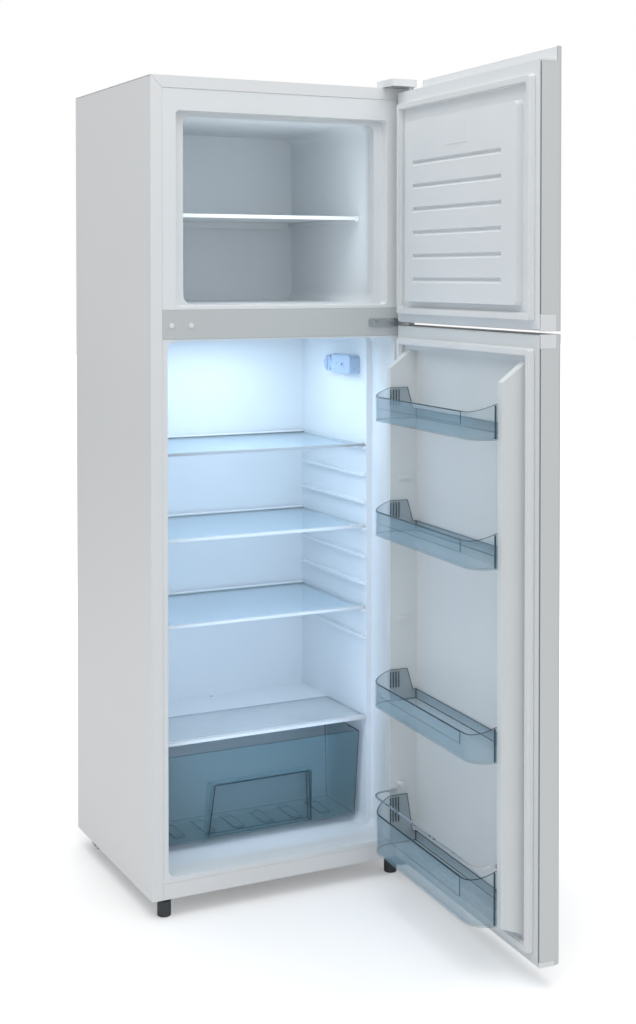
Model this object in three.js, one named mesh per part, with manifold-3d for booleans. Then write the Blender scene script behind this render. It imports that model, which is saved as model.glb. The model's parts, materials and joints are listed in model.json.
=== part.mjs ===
/**
 * Two-door top freezer refrigerator, standing on its feet with both doors swung open.
 *
 * Millimetres, +Z up. The cabinet's front looks along -Y and the doors hang on its right side (+X).
 * The cabinet is laid out about x = 0, with its front face at y = 0 and the floor at z = 0. The doors are
 * laid out shut, in the same frame, and are then turned together about the hinge line. Last of all the
 * whole object is moved so that the origin lies on the floor under the middle of its outline.
 */
import * as THREE from 'three';
import { mergeVertices } from 'three/addons/utils/BufferGeometryUtils.js';
import Module from 'manifold-3d';

const wasm = await Module();
wasm.setup();

// ---------------------------------------------------------------- driving dimensions

/** Clearance between pieces that touch. */
const GAP = 0.3;

const cabinet = { width: 550, depth: 450, height: 1580, base: 36, sheet: 1.2, flange: 23, rearFlange: 14 };

/** Vacuum formed liners: wall, and how far their flange lies behind the steel's face. */
const liner = { wall: 1.8, setBack: 0.8 };

const freezer = {
  topBand: 64, // from the cabinet's top down to the lip
  lipHeight: 367,
  lipSide: 50, // from the cabinet's side to the lip
  lipDepth: 18,
  ledgeSide: 21,
  ledgeTop: 7,
  ledgeBottom: 3,
  rearFoam: 55,
  draft: 0.985, // width at the rear as a share of the width at the front
  cornerRadius: 20,
  shelfShare: 0.47, // height of the shelf as a share of the lip's height
  shelfRib: 6,
};

const crossbar = { height: 55, depth: 12, wall: 2, belowFreezer: 6, aboveFridge: 3 };

const fridge = {
  sideWall: 33, // from the cabinet's side to the opening
  sill: 39, // from the cabinet's base up to the cavity's floor
  frontZone: 90, // depth of the wide front zone that takes the door bins
  stepIn: 16, // how much narrower the shelf zone is, on each side
  rearFoam: 58,
  cornerRadius: 18,
  runners: 8, // levels
  runnerTop: 228, // from the ceiling down to the highest runner
  runnerLow: 166, // from the rear step's top up to the lowest runner
  runnerWidth: 8,
  runnerHeight: 6,
  shelfLevels: [0, 3, 6], // runner that each shelf lies on, from the top
};

const evaporatorPlate = { margin: 30, thickness: 3 };

/** Compressor bay under the cavity's rear step, and the foam that parts the two. */
const bay = { height: 226, depth: 140, foam: 44 };

const shelf = {
  glass: 3.2,
  trim: 9,
  trimHeight: 5.6,
  trimLip: 1.1,
  seat: 4, // how far the pane reaches into its trim
  railHeight: 1,
  sideGap: 1.5,
  frontGap: 4,
  rearGap: 5,
};
const freezerShelf = {
  plate: 3.5,
  trimHeight: 7,
  trimDepth: 6,
  trimDrop: 2, // how far the front trim hangs below the plate
  rearDrop: 13, // how far the rear trim hangs below the plate
  clip: 9, // width of the clip on the right end
  front: 84,
  sideGap: 2,
  rearGap: 8,
};

const crisper = {
  wall: 2.2,
  sideGap: 12,
  floorGap: 15, // under the drawer
  coverGap: 26, // from the rim up to the glass
  frontGap: 8, // from the wide zone back to the rim
  tilt: 20, // how far the foot of the front leans back
  rearGap: 9,
  gripShare: 0.6, // height of the grip's pocket as a share of the drawer's height
  gripHalf: 112,
  gripDepth: 14,
  padMargin: 20, // from the drawer's side to the first pad's share of the floor
  pads: 6,
  padWidth: 24,
  padHeight: 1.6,
};

const door = {
  thickness: 44.3, // from the liner's flange to the outer skin
  standOff: 12, // from the cabinet's face to the liner's flange, when shut
  sheet: 1.2,
  edgeRadius: 10,
  faceZone: 12, // depth of the skin's full-height front
  openAngle: 86.3,
  gapBetween: 5,
  flangeInset: 3,
  skinReturn: 10,
};
const hinge = { fromSide: 16, fromFlange: 19.6, pin: 4, play: 0.35, boss: 8.5, plate: 3 };
const gasket = { height: 11.4, width: 14, fromSide: 17, fromTop: 24, magnetBead: 4 };

const freezerDoor = {
  belowTop: 10, // from the cabinet's top down to the top of the door's body
  lip: 22, // how far the skin's lip stands above the body
  lipNotch: 46, // cut away over the hinge
  topCap: 4,
  bottomCap: 29,
  belowBar: 29, // from the crossbar's top edge down to the door's foot
  plateau: 13,
  plateauPlay: 6,
  plateauDraft: 3,
  grooves: 6,
  grooveHeight: 10,
  grooveDepth: 5,
  grooveTop: 92, // from the lip's top down to the first groove
  grooveFoot: 50, // from the lip's bottom up to the last groove
  grooveFree: 60, // from the lip's side to the grooves' ends, away from the hinge
  grooveHinge: 44, // and at the hinge
  pad: { width: 89, height: 35, below: 32, proud: 0.8 }, // raised pad under the plateau's top edge
};
const fridgeDoor = {
  foot: 40, // from the floor up to the door
  topCap: 24,
  bottomCap: 9,
  dike: 45,
  dikeWidth: 20,
  dikeFromSide: 42,
  recess: 12,
  belowRecess: 41, // from the door's foot up to the recess
  aboveRecess: 23, // from the cavity's ceiling down to the recess
};

/** Door bins from the lowest up: floor height as a share of the recess, rim heights, corner radius. */
const bins = [
  { share: 0.013, front: 78, end: 98, radius: 44 },
  { share: 0.3, front: 49, end: 64, radius: 36 },
  { share: 0.638, front: 49, end: 64, radius: 36 },
  { share: 0.863, front: 49, end: 64, radius: 36 },
];
const binShape = { reach: 90, wall: 2.2, backHeight: 20, play: 1, endBack: 12, nub: 4 };
const guardRail = { radius: 2, above: 106, bend: 34, pegRadius: 5, pegLength: 14, pegAbove: 12, pegOut: 24 };

const topHinge = { coverHeight: 14, coverWall: 1.8, length: 55, back: 28 };
const middleHinge = {
  plateHeight: 16,
  screw: 4.2,
  headHeight: 2,
  crossHalf: 3,
  crossWidth: 1.2,
  crossDepth: 0.9,
};
const foot = { radius: 13, neck: 9, neckHeight: 6, fromSide: 31, fromFront: 20, stud: 4, studHeight: 16 };
const roller = { radius: 12, width: 16, fromSide: 36, fromRear: 26, axle: 3, ear: 2 };
const compressor = { radius: 66, height: 156, fromCentre: 105, plate: 4, grommet: 8 };
const rail = { thickness: 2, depth: 118 };
const drier = { pipe: 3, can: 9, shoulder: 10, length: 120, x: -60, behind: 30 };
const condenser = {
  tube: 2.4,
  passes: 20,
  sideInset: 55,
  standOff: 20,
  topInset: 90,
  aboveBay: 70,
  pad: 6,
  padShare: 0.8, // how far out along a pass the pads sit
};
const thermostat = {
  fromCeiling: 62,
  height: 38,
  length: 84,
  proud: 24,
  front: 28, // from the wide zone back to the housing
  base: 3,
  knob: 17,
  knobProud: 20,
};

const COLOUR = {
  paint: 0xeef0f1,
  liner: 0xf4f6f7,
  foam: 0xd8c48a,
  clear: 0xa9c3d6,
  glass: 0xcfe6e8,
  zinc: 0xa8adb0,
  steel: 0x8b9094,
  black: 0x202224,
  grey: 0x4a4d50,
  copper: 0xb87333,
  rubber: 0xe6e8e8,
};

// ---------------------------------------------------------------- derived places

const halfWidth = cabinet.width / 2;
const innerHalf = halfWidth - cabinet.sheet - GAP;
const flangeHalf = halfWidth - cabinet.flange - GAP;

const lip = {
  half: halfWidth - freezer.lipSide,
  top: cabinet.height - freezer.topBand,
  bottom: cabinet.height - freezer.topBand - freezer.lipHeight,
};
const freezerCavity = {
  half: lip.half - freezer.ledgeSide,
  top: lip.top - freezer.ledgeTop,
  bottom: lip.bottom + freezer.ledgeBottom,
  back: cabinet.depth - freezer.rearFoam,
};
const barTop = lip.bottom - crossbar.belowFreezer;
const bar = { top: barTop, bottom: barTop - crossbar.height };
const bayTop = cabinet.base + bay.height;
const bayFront = cabinet.depth - bay.depth;
const cavity = {
  half: halfWidth - fridge.sideWall,
  shelfHalf: halfWidth - fridge.sideWall - fridge.stepIn,
  top: bar.bottom - crossbar.aboveFridge,
  floor: cabinet.base + fridge.sill,
  back: cabinet.depth - fridge.rearFoam,
  stepFront: bayFront - bay.foam,
  stepTop: bayTop + bay.foam - 6,
};
const runnerFirst = cavity.top - fridge.runnerTop;
const runnerLast = cavity.stepTop + fridge.runnerLow;
const runnerPitch = (runnerFirst - runnerLast) / (fridge.runners - 1);
const runnerLevel = (index) => runnerFirst - runnerPitch * index;

/** Planes of a shut door: the liner's flange, the back of the face zone, and the outer skin. */
const doorY = {
  flange: -door.standOff,
  face: -door.standOff - door.thickness + door.faceZone,
  skin: -door.standOff - door.thickness,
};
const pivot = { x: halfWidth - hinge.fromSide, y: doorY.flange - hinge.fromFlange };
const upper = {
  bottom: bar.top - freezerDoor.belowBar,
  top: cabinet.height - freezerDoor.belowTop,
};
const lower = { bottom: fridgeDoor.foot, top: upper.bottom - door.gapBetween };
const dikeHalf = halfWidth - fridgeDoor.dikeFromSide - fridgeDoor.dikeWidth;
const recess = { bottom: lower.bottom + fridgeDoor.belowRecess, top: cavity.top - fridgeDoor.aboveRecess };
const binFloor = (bin) => recess.bottom + bin.share * (recess.top - recess.bottom);

// ---------------------------------------------------------------- solids

function toSolid(geometry) {
  const bare = geometry.clone();
  bare.deleteAttribute('normal');
  bare.deleteAttribute('uv');
  const merged = mergeVertices(bare, 1e-4);
  const vertProperties = new Float32Array(merged.attributes.position.array);
  const triVerts = new Uint32Array(merged.index.array);
  return new wasm.Manifold(new wasm.Mesh({ numProp: 3, vertProperties, triVerts }));
}

function toGeometry(solid) {
  const mesh = solid.getMesh();
  const geometry = new THREE.BufferGeometry();
  geometry.setAttribute('position', new THREE.BufferAttribute(mesh.vertProperties.slice(), 3));
  geometry.setIndex(new THREE.BufferAttribute(mesh.triVerts.slice(), 1));
  const flat = geometry.toNonIndexed();
  flat.computeVertexNormals();
  return flat;
}

/** Box between two corners, given as [low, high] along each axis. */
function block([x0, x1], [y0, y1], [z0, z1]) {
  const geometry = new THREE.BoxGeometry(x1 - x0, y1 - y0, z1 - z0);
  geometry.translate((x0 + x1) / 2, (y0 + y1) / 2, (z0 + z1) / 2);
  return toSolid(geometry);
}

function roundedRect(x0, x1, y0, y1, radius) {
  const outline = new THREE.Shape();
  outline.moveTo(x0 + radius, y0);
  outline.lineTo(x1 - radius, y0);
  outline.absarc(x1 - radius, y0 + radius, radius, -Math.PI / 2, 0);
  outline.lineTo(x1, y1 - radius);
  outline.absarc(x1 - radius, y1 - radius, radius, 0, Math.PI / 2);
  outline.lineTo(x0 + radius, y1);
  outline.absarc(x0 + radius, y1 - radius, radius, Math.PI / 2, Math.PI);
  outline.lineTo(x0, y0 + radius);
  outline.absarc(x0 + radius, y0 + radius, radius, Math.PI, Math.PI * 1.5);
  return outline;
}

function polygon(points) {
  return new THREE.Shape(points.map(([u, v]) => new THREE.Vector2(u, v)));
}

const ALONG = {
  x: new THREE.Matrix4().makeBasis(
    new THREE.Vector3(0, 1, 0), new THREE.Vector3(0, 0, 1), new THREE.Vector3(1, 0, 0)),
  y: new THREE.Matrix4().makeBasis(
    new THREE.Vector3(1, 0, 0), new THREE.Vector3(0, 0, 1), new THREE.Vector3(0, -1, 0)),
  z: new THREE.Matrix4(),
};

/** Extrudes an outline between two places on an axis. Its own two directions are the other two, in order. */
function prismGeometry(axis, outline, from, to, curveSegments = 5) {
  const settings = { depth: to - from, bevelEnabled: false, curveSegments, steps: 1 };
  const geometry = new THREE.ExtrudeGeometry(outline, settings);
  geometry.applyMatrix4(ALONG[axis]);
  const start = axis === 'y' ? to : from;
  geometry.translate(axis === 'x' ? start : 0, axis === 'y' ? start : 0, axis === 'z' ? start : 0);
  return geometry;
}

const prism = (...args) => toSolid(prismGeometry(...args));

/** Draws a prism along Y in towards its own middle, down to the given shares of its size at the far end. */
function draftedAlongY(outline, from, to, shareX, shareZ, curveSegments) {
  const geometry = prismGeometry('y', outline, from, to, curveSegments);
  geometry.computeBoundingBox();
  const middle = geometry.boundingBox.getCenter(new THREE.Vector3());
  const position = geometry.attributes.position;
  for (let i = 0; i < position.count; i += 1) {
    const t = (position.getY(i) - from) / (to - from);
    position.setX(i, middle.x + (position.getX(i) - middle.x) * THREE.MathUtils.lerp(1, shareX, t));
    position.setZ(i, middle.z + (position.getZ(i) - middle.z) * THREE.MathUtils.lerp(1, shareZ, t));
  }
  return toSolid(geometry);
}

function cylinder(axis, radius, from, to, u, v, sides = 16) {
  const geometry = new THREE.CylinderGeometry(radius, radius, to - from, sides);
  const middle = (from + to) / 2;
  if (axis === 'x') {
    geometry.rotateZ(Math.PI / 2);
    geometry.translate(middle, u, v);
  } else if (axis === 'y') {
    geometry.translate(u, middle, v);
  } else {
    geometry.rotateX(Math.PI / 2);
    geometry.translate(u, v, middle);
  }
  return toSolid(geometry);
}

/** Body of revolution about an upright axis. The profile's points are [radius, height]. */
function turned(profile, x, y, sides = 20) {
  const geometry = new THREE.LatheGeometry(profile.map(([r, h]) => new THREE.Vector2(r, h)), sides);
  geometry.rotateX(Math.PI / 2);
  geometry.translate(x, y, 0);
  return toSolid(geometry);
}

function tube(path, radius, steps, sides = 8) {
  const section = new THREE.Shape();
  for (let i = 0; i < sides; i += 1) {
    const angle = (Math.PI * 2 * i) / sides;
    const point = [radius * Math.cos(angle), radius * Math.sin(angle)];
    if (i === 0) {
      section.moveTo(...point);
    } else {
      section.lineTo(...point);
    }
  }
  return toSolid(new THREE.ExtrudeGeometry(section, { steps, extrudePath: path, bevelEnabled: false }));
}

const union = (solids) => solids.reduce((sum, solid) => sum.add(solid));
const mirrorX = (solid) => solid.mirror([1, 0, 0]);

const FINISH = {
  paint: { color: COLOUR.paint, roughness: 0.35, metalness: 0 },
  liner: { color: COLOUR.liner, roughness: 0.4, metalness: 0 },
  foam: { color: COLOUR.foam, roughness: 0.9, metalness: 0 },
  clear: { color: COLOUR.clear, roughness: 0.15, metalness: 0, transparent: true, opacity: 0.5 },
  glass: { color: COLOUR.glass, roughness: 0.05, metalness: 0, transparent: true, opacity: 0.4 },
  trim: { color: COLOUR.liner, roughness: 0.3, metalness: 0 },
  zinc: { color: COLOUR.zinc, roughness: 0.35, metalness: 0.9 },
  black: { color: COLOUR.black, roughness: 0.5, metalness: 0 },
  grey: { color: COLOUR.grey, roughness: 0.6, metalness: 0 },
  darkSteel: { color: COLOUR.black, roughness: 0.4, metalness: 0.4 },
  galvanised: { color: COLOUR.steel, roughness: 0.45, metalness: 0.8 },
  copper: { color: COLOUR.copper, roughness: 0.35, metalness: 1 },
  rubber: { color: COLOUR.rubber, roughness: 0.7, metalness: 0 },
};

function part(name, solid, finish) {
  const mesh = new THREE.Mesh(toGeometry(solid), new THREE.MeshStandardMaterial(FINISH[finish]));
  mesh.name = name;
  return mesh;
}

// ---------------------------------------------------------------- cabinet shell

/** Side panel on the left: side sheet, front flange and rear flange, mitred at the top front corner. */
function leftSidePanel() {
  const { sheet, flange, rearFlange, depth, base, height } = cabinet;
  const heights = [base, height - sheet - 2 * GAP];
  const panel = union([
    block([-halfWidth, -halfWidth + sheet], [0, depth], heights),
    block([-halfWidth, -halfWidth + flange], [0, sheet], [base, height]),
    block([-halfWidth, -halfWidth + rearFlange], [depth - sheet, depth], heights),
  ]);
  const mitre = polygon([
    [-halfWidth - 1, height + 1], [-halfWidth - 1, height - GAP], [-halfWidth, height - GAP],
    [-halfWidth + flange, height - flange - GAP], [-halfWidth + flange + 1, height + 1]]);
  return panel.subtract(prism('y', mitre, -1, sheet + 1));
}

function topPanel() {
  const { sheet, flange, rearFlange, depth, height } = cabinet;
  const panel = union([
    block([-halfWidth, halfWidth], [0, depth], [height - sheet, height]),
    block([-halfWidth, halfWidth], [0, sheet], [height - flange, height]),
    block([-innerHalf, innerHalf], [depth - sheet, depth], [height - rearFlange, height]),
  ]);
  const mitre = prism('y', polygon([
    [-halfWidth - 1, height - flange - 1], [-halfWidth + flange + 1, height - flange - 1],
    [-halfWidth, height], [-halfWidth, height - sheet], [-halfWidth - 1, height - sheet]]), -1, sheet + 1);
  const rearRoom = block([-halfWidth - 1, -halfWidth + rearFlange + GAP], [depth - sheet - 1, depth + 1],
    [height - rearFlange - 1, height - sheet - GAP]);
  return panel.subtract(mitre).subtract(mirrorX(mitre)).subtract(rearRoom).subtract(mirrorX(rearRoom));
}

function backPanel() {
  const { sheet, depth, height } = cabinet;
  const rear = depth - sheet - GAP;
  const heights = [bayTop + sheet + GAP, height - sheet - GAP];
  const panel = block([-innerHalf, innerHalf], [rear - sheet, rear], heights);
  return panel.subtract(cylinder('y', gland.radius + GAP, rear - sheet - 1, rear + 1, gland.x, gland.z));
}

/** Base of the cabinet: front sill, floor plate, and the wall and ceiling of the compressor bay. */
function basePan() {
  const { sheet, base, depth } = cabinet;
  return union([
    block([-flangeHalf, flangeHalf], [GAP, GAP + sheet], [base, cavity.floor - linerFoot - GAP]),
    block([-flangeHalf, flangeHalf], [GAP, sheet + 2], [base, base + sheet]),
    block([-innerHalf, innerHalf], [sheet + GAP, bayFront], [base, base + sheet]),
    block([-innerHalf, innerHalf], [bayFront - sheet, bayFront], [base, bayTop]),
    block([-innerHalf, innerHalf], [bayFront - sheet, depth - sheet - GAP], [bayTop - sheet, bayTop]),
  ]).subtract(drainBore(GAP)).subtract(studBores(GAP));
}

/** How far the fridge liner's flange reaches below the cavity's floor. */
const linerFoot = 9;
const gland = { radius: 9, flange: 13, x: -halfWidth + 70, z: bayTop + 34 };
const drain = { radius: 7, y: cavity.back - 16 };

function drainBore(play) {
  return cylinder('z', drain.radius + play, bayTop - 16, cavity.stepTop - liner.wall - GAP, 0, drain.y);
}

function drainTube() {
  const top = cavity.stepTop - liner.wall - 2 * GAP;
  const outer = cylinder('z', drain.radius, bayTop - 14, top, 0, drain.y);
  return outer.subtract(cylinder('z', drain.radius - 1.5, bayTop - 15, top + 1, 0, drain.y));
}

// ---------------------------------------------------------------- cavities and liners

/** The freezer's hollow, grown outwards by the given amount. */
function freezerHollow(grow) {
  const { half, top, bottom, back } = freezerCavity;
  const tub = roundedRect(-half - grow, half + grow, bottom - grow, top + grow, freezer.cornerRadius + grow);
  return draftedAlongY(tub, -1, back + grow, freezer.draft, 0.99);
}

function freezerLip(grow) {
  const outline = roundedRect(-lip.half - grow, lip.half + grow, lip.bottom - grow, lip.top + grow, 8 + grow);
  return draftedAlongY(outline, -1, freezer.lipDepth + grow, 0.99, 0.99, 3);
}

function freezerLiner() {
  const { setBack, wall } = liner;
  const flange = block([-flangeHalf, flangeHalf], [setBack, setBack + wall],
    [bar.top + GAP, cabinet.height - cabinet.flange - GAP]);
  const front = block([-halfWidth, halfWidth], [-2, setBack], [0, cabinet.height]);
  const outside = flange.add(freezerHollow(wall)).add(freezerLip(wall)).subtract(front);
  const shell = outside.subtract(freezerHollow(0)).subtract(freezerLip(0));
  const rib = freezerShelfRib().intersect(freezerHollow(wall / 2));
  return shell.add(rib).add(mirrorX(rib));
}

/** Ledge on the freezer's left wall that carries the shelf. */
function freezerShelfRib() {
  const { half, back } = freezerCavity;
  const level = freezerShelfLevel();
  const taper = half * (1 - freezer.draft);
  const outline = polygon([
    [-half - 1, freezerShelf.front], [-half + freezer.shelfRib + taper * 0.3, freezerShelf.front],
    [-half + freezer.shelfRib + taper, back + 1], [-half + taper - 1, back + 1]]);
  return prism('z', outline, level - 6, level);
}

const freezerShelfLevel = () => lip.bottom + freezer.lipHeight * freezer.shelfShare;

/** The fridge's hollow, grown outwards: a wide front zone, the shelf zone, less the step over the bay. */
function fridgeHollow(grow) {
  const { half, shelfHalf, top, floor, back, stepFront, stepTop } = cavity;
  const radius = fridge.cornerRadius;
  const wide = roundedRect(-half - grow, half + grow, floor - grow, top + grow, radius + grow);
  const narrow = roundedRect(-shelfHalf - grow, shelfHalf + grow, floor - grow, top + grow, radius + grow);
  const front = draftedAlongY(wide, -1, fridge.frontZone + grow, 0.985, 1);
  const rear = prism('y', narrow, fridge.frontZone - 20, back + grow);
  const step = block([-halfWidth, halfWidth], [stepFront + grow, cabinet.depth], [0, stepTop - grow]);
  return front.add(rear.subtract(step));
}

function runners() {
  const { runnerWidth, runnerHeight, frontZone } = fridge;
  const inner = cavity.shelfHalf - runnerWidth;
  const outline = polygon([
    [inner, frontZone + 8], [inner + 4, frontZone + 1], [cavity.shelfHalf + 1, frontZone + 1],
    [cavity.shelfHalf + 1, cavity.back - 12], [inner, cavity.back - 12]]);
  const levels = Array.from({ length: fridge.runners }, (_, index) => runnerLevel(index));
  return union(levels.map((level) => prism('z', outline, level - runnerHeight, level)));
}

function fridgeLiner() {
  const { setBack, wall } = liner;
  const flange = block([-flangeHalf, flangeHalf], [setBack, setBack + wall],
    [cavity.floor - linerFoot, bar.bottom - GAP]);
  const front = block([-halfWidth, halfWidth], [-2, setBack], [0, cabinet.height]);
  const shell = flange.add(fridgeHollow(wall)).subtract(front).subtract(fridgeHollow(0));
  const ribs = runners().add(coverLedge()).intersect(fridgeHollow(wall / 2));
  return shell.add(ribs).add(mirrorX(ribs)).subtract(drainHole());
}

function drainHole() {
  return cylinder('z', drain.radius - 3, cavity.stepTop - liner.wall - 2, cavity.stepTop + 2, 0, drain.y, 12);
}

function cabinetFoam() {
  const { sheet, base, depth, height } = cabinet;
  const front = liner.setBack + liner.wall + GAP;
  const rear = depth - 2 * sheet - 2 * GAP;
  const heights = [base + sheet + GAP, height - sheet - GAP];
  const whole = block([-innerHalf + GAP, innerHalf - GAP], [front, rear], heights);
  const bayRoom = block([-halfWidth, halfWidth], [bayFront - sheet - GAP, depth], [0, bayTop + GAP]);
  const grown = liner.wall + GAP;
  const barRoom = block([-flangeHalf - GAP, flangeHalf + GAP], [0, crossbar.depth + 2 * GAP],
    [bar.bottom - GAP, bar.top + GAP]);
  const plate = evaporator(GAP);
  return whole.subtract(bayRoom).subtract(freezerHollow(grown)).subtract(freezerLip(grown))
    .subtract(fridgeHollow(grown)).subtract(barRoom).subtract(plate).subtract(drainBore(GAP))
    .subtract(studBores(2 * GAP))
    .subtract(cylinder('y', gland.radius + GAP, rear - 24, rear + 2, gland.x, gland.z));
}

/** Evaporator plate behind the freezer liner's rear wall, grown by the given play. */
function evaporator(play) {
  const { half, top, bottom, back } = freezerCavity;
  const front = back + liner.wall + 2 * GAP;
  const grow = play * 1.5;
  const { margin, thickness } = evaporatorPlate;
  return block([-half + margin - grow, half - margin + grow], [front - grow, front + thickness + grow],
    [bottom + margin - grow, top - margin + grow]);
}

function centreCrossbar() {
  const { depth, wall } = crossbar;
  const x = flangeHalf;
  const outer = block([-x, x], [GAP, GAP + depth], [bar.bottom, bar.top]);
  const hollow = block([-x + wall, x - wall], [GAP + wall, GAP + depth + 1],
    [bar.bottom + wall, bar.top - wall]);
  let solid = outer.subtract(hollow);
  for (const place of plugPlaces()) {
    solid = solid.subtract(cylinder('y', plug.stem + GAP, -1, GAP + wall + 1, -place, hingeLevel, 12));
    solid = solid.subtract(cylinder('y', plug.stem + GAP, -1, GAP + wall + 1, place, hingeLevel, 12));
  }
  return solid;
}

const plug = { head: 5, stem: 3, headHeight: 1.6 };
const hingeLevel = (upper.bottom + lower.top) / 2 + 2.5;

/** Distances from the middle of the two screws that hold the middle hinge, and of the plugs opposite. */
function plugPlaces() {
  return [halfWidth - 80, halfWidth - 41];
}

/** Plug that fills an unused hinge hole on the crossbar's left end. */
function holePlug(place) {
  const y = GAP;
  const head = cylinder('y', plug.head, y - GAP - plug.headHeight, y - GAP, -place, hingeLevel, 16);
  return head.add(cylinder('y', plug.stem, y - GAP - 0.2, y + crossbar.wall, -place, hingeLevel, 12));
}

// ---------------------------------------------------------------- shelves and drawer

function shelfExtent() {
  return {
    half: cavity.shelfHalf - shelf.sideGap,
    front: fridge.frontZone + shelf.frontGap,
    back: cavity.back - shelf.rearGap,
  };
}

/** Pane that lies in its frame, with its underside at the given height. */
function shelfPane(level, grow = 0) {
  const { half, front, back } = shelfExtent();
  const inset = shelf.trim - shelf.seat - 1;
  const under = level + shelf.railHeight + GAP;
  return block([-half + 2 - grow, half - 2 + grow], [front + inset - grow, back - inset + grow],
    [under - grow, under + shelf.glass + grow]);
}

function shelfFrame(level) {
  const { half, front, back } = shelfExtent();
  const outer = block([-half, half], [front, back], [level + GAP, level + GAP + shelf.trimHeight]);
  const opening = block([-half + shelf.trim, half - shelf.trim], [front + shelf.trim, back - shelf.trim],
    [level - 1, level + 20]);
  const overRails = block([-half - 1, half + 1], [front + shelf.trim, back - shelf.trim],
    [level + shelf.railHeight, level + 20]);
  return outer.subtract(opening).subtract(overRails).subtract(shelfPane(level, GAP));
}

function freezerShelfPlate() {
  const { plate, trimHeight, trimDepth, trimDrop, rearDrop, clip, front, sideGap, rearGap } = freezerShelf;
  const level = freezerShelfLevel() + GAP;
  const narrow = freezerCavity.half * freezer.draft - sideGap;
  const wide = narrow + 3;
  const back = freezerCavity.back - rearGap;
  const plateFront = front - trimDepth / 2;
  const outline = polygon([[-wide, plateFront], [wide, plateFront], [narrow, back], [-narrow, back]]);
  const foot = level - trimDrop;
  const frontTrim = block([-wide, wide], [front - trimDepth, front - GAP], [foot, foot + trimHeight]);
  const rearHalf = narrow - freezer.shelfRib - trimDepth;
  const rearTrim = block([-rearHalf, rearHalf], [back - trimDepth, back], [level - rearDrop, level + plate]);
  const endClip = block([wide - clip, wide], [front - trimDepth - 1, front - GAP],
    [foot - 2, foot + trimHeight + 1]);
  return prism('z', outline, level, level + plate).add(frontTrim).add(rearTrim).add(endClip);
}

function crisperCover() {
  const { half, front } = shelfExtent();
  const back = cavity.stepFront - 2 * GAP;
  const top = cavity.stepTop;
  return block([-half, half], [front + 2, back], [top - shelf.glass, top]);
}

/** Front trim of the crisper's cover: a channel that grips the glass. */
function crisperTrim() {
  const { half, front } = shelfExtent();
  const top = cavity.stepTop;
  const lipOver = GAP + shelf.trimLip;
  const outer = block([-half, half], [front - 6, front + 8], [top - shelf.glass - lipOver, top + lipOver]);
  return outer.subtract(block([-half - 1, half + 1], [front + 2 - GAP, front + 9],
    [top - shelf.glass - GAP, top + GAP]));
}

/** Ledge on the fridge's right wall under the crisper's cover. */
function coverLedge() {
  const { front } = shelfExtent();
  const top = cavity.stepTop - shelf.glass - GAP;
  return block([cavity.shelfHalf - fridge.runnerWidth, cavity.shelfHalf + 1],
    [front + 9, cavity.stepFront + 1], [top - 5, top]);
}

function crisperProfile(inset) {
  const { floorGap, coverGap, frontGap, tilt, rearGap } = crisper;
  const bottom = cavity.floor + floorGap + inset;
  const top = cavity.stepTop - shelf.glass - coverGap;
  const front = fridge.frontZone + frontGap;
  const back = cavity.stepFront - liner.wall - rearGap;
  return { bottom, top, front, back, tilt,
    outline: polygon([
      [front + tilt + inset, bottom], [back - 8 - inset, bottom], [back - inset, top + (inset ? 1 : 0)],
      [front + inset, top + (inset ? 1 : 0)]]) };
}

function crisperDrawer() {
  const half = cavity.shelfHalf - crisper.sideGap;
  const shape = crisperProfile(0);
  const height = shape.top - shape.bottom;
  const outer = prism('x', shape.outline, -half, half);
  const inner = prism('x', crisperProfile(crisper.wall).outline, -half + crisper.wall, half - crisper.wall);
  const pocket = (grow) => {
    const top = shape.bottom + height * crisper.gripShare + grow;
    const outline = polygon([
      [-crisper.gripHalf - grow - 5, shape.bottom + 6 - grow],
      [crisper.gripHalf + grow, shape.bottom + 6 - grow],
      [crisper.gripHalf - 4 + grow, top], [-crisper.gripHalf + 5 - grow, top]]);
    return prism('y', outline, shape.front - 5, shape.front + shape.tilt + crisper.gripDepth + grow);
  };
  const backing = pocket(crisper.wall).intersect(outer);
  const pads = drawerPads(half, shape);
  return outer.subtract(inner).add(backing).subtract(pocket(0)).add(pads);
}

/** Row of raised pads on the drawer's floor. */
function drawerPads(half, shape) {
  const pitch = (2 * (half - crisper.padMargin)) / crisper.pads;
  const front = shape.front + shape.tilt + crisper.gripDepth + 12;
  const floor = shape.bottom + crisper.wall;
  const first = -half + crisper.padMargin + pitch / 2;
  const places = Array.from({ length: crisper.pads }, (_, index) => first + pitch * index);
  return union(places.map((x) => prism('z',
    roundedRect(x - crisper.padWidth / 2, x + crisper.padWidth / 2, front, shape.back - 26, 8),
    floor - 0.5, floor + crisper.padHeight, 2)));
}

// ---------------------------------------------------------------- lamp housing

function thermostatPlaces() {
  const middle = cavity.top - thermostat.fromCeiling;
  const wall = cavity.shelfHalf - GAP;
  const front = fridge.frontZone + thermostat.front;
  const knobY = front + thermostat.length + thermostat.knob + 2;
  return { middle, wall, front, knobY };
}

function thermostatHousing() {
  const { middle, wall, front } = thermostatPlaces();
  const back = front + thermostat.length;
  const half = thermostat.height / 2;
  const side = roundedRect(front, back, middle - half, middle + half, 8);
  const shell = prism('x', side, wall - thermostat.proud, wall, 3);
  const hollow = prism('x', roundedRect(front + 2, back - 2, middle - half + 2, middle + half - 2, 6),
    wall - thermostat.proud + 2, wall + 1, 3);
  const plate = roundedRect(back - 10, back + 2 * thermostat.knob + 4, middle - half, middle + half, 8);
  const base = prism('x', plate, wall - thermostat.base, wall, 3);
  const screwHole = cylinder('x', 3, wall - thermostat.proud - 1, wall - thermostat.proud + 3,
    (front + back) / 2 - 6, middle, 12);
  return shell.subtract(hollow).add(base).subtract(screwHole);
}

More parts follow.
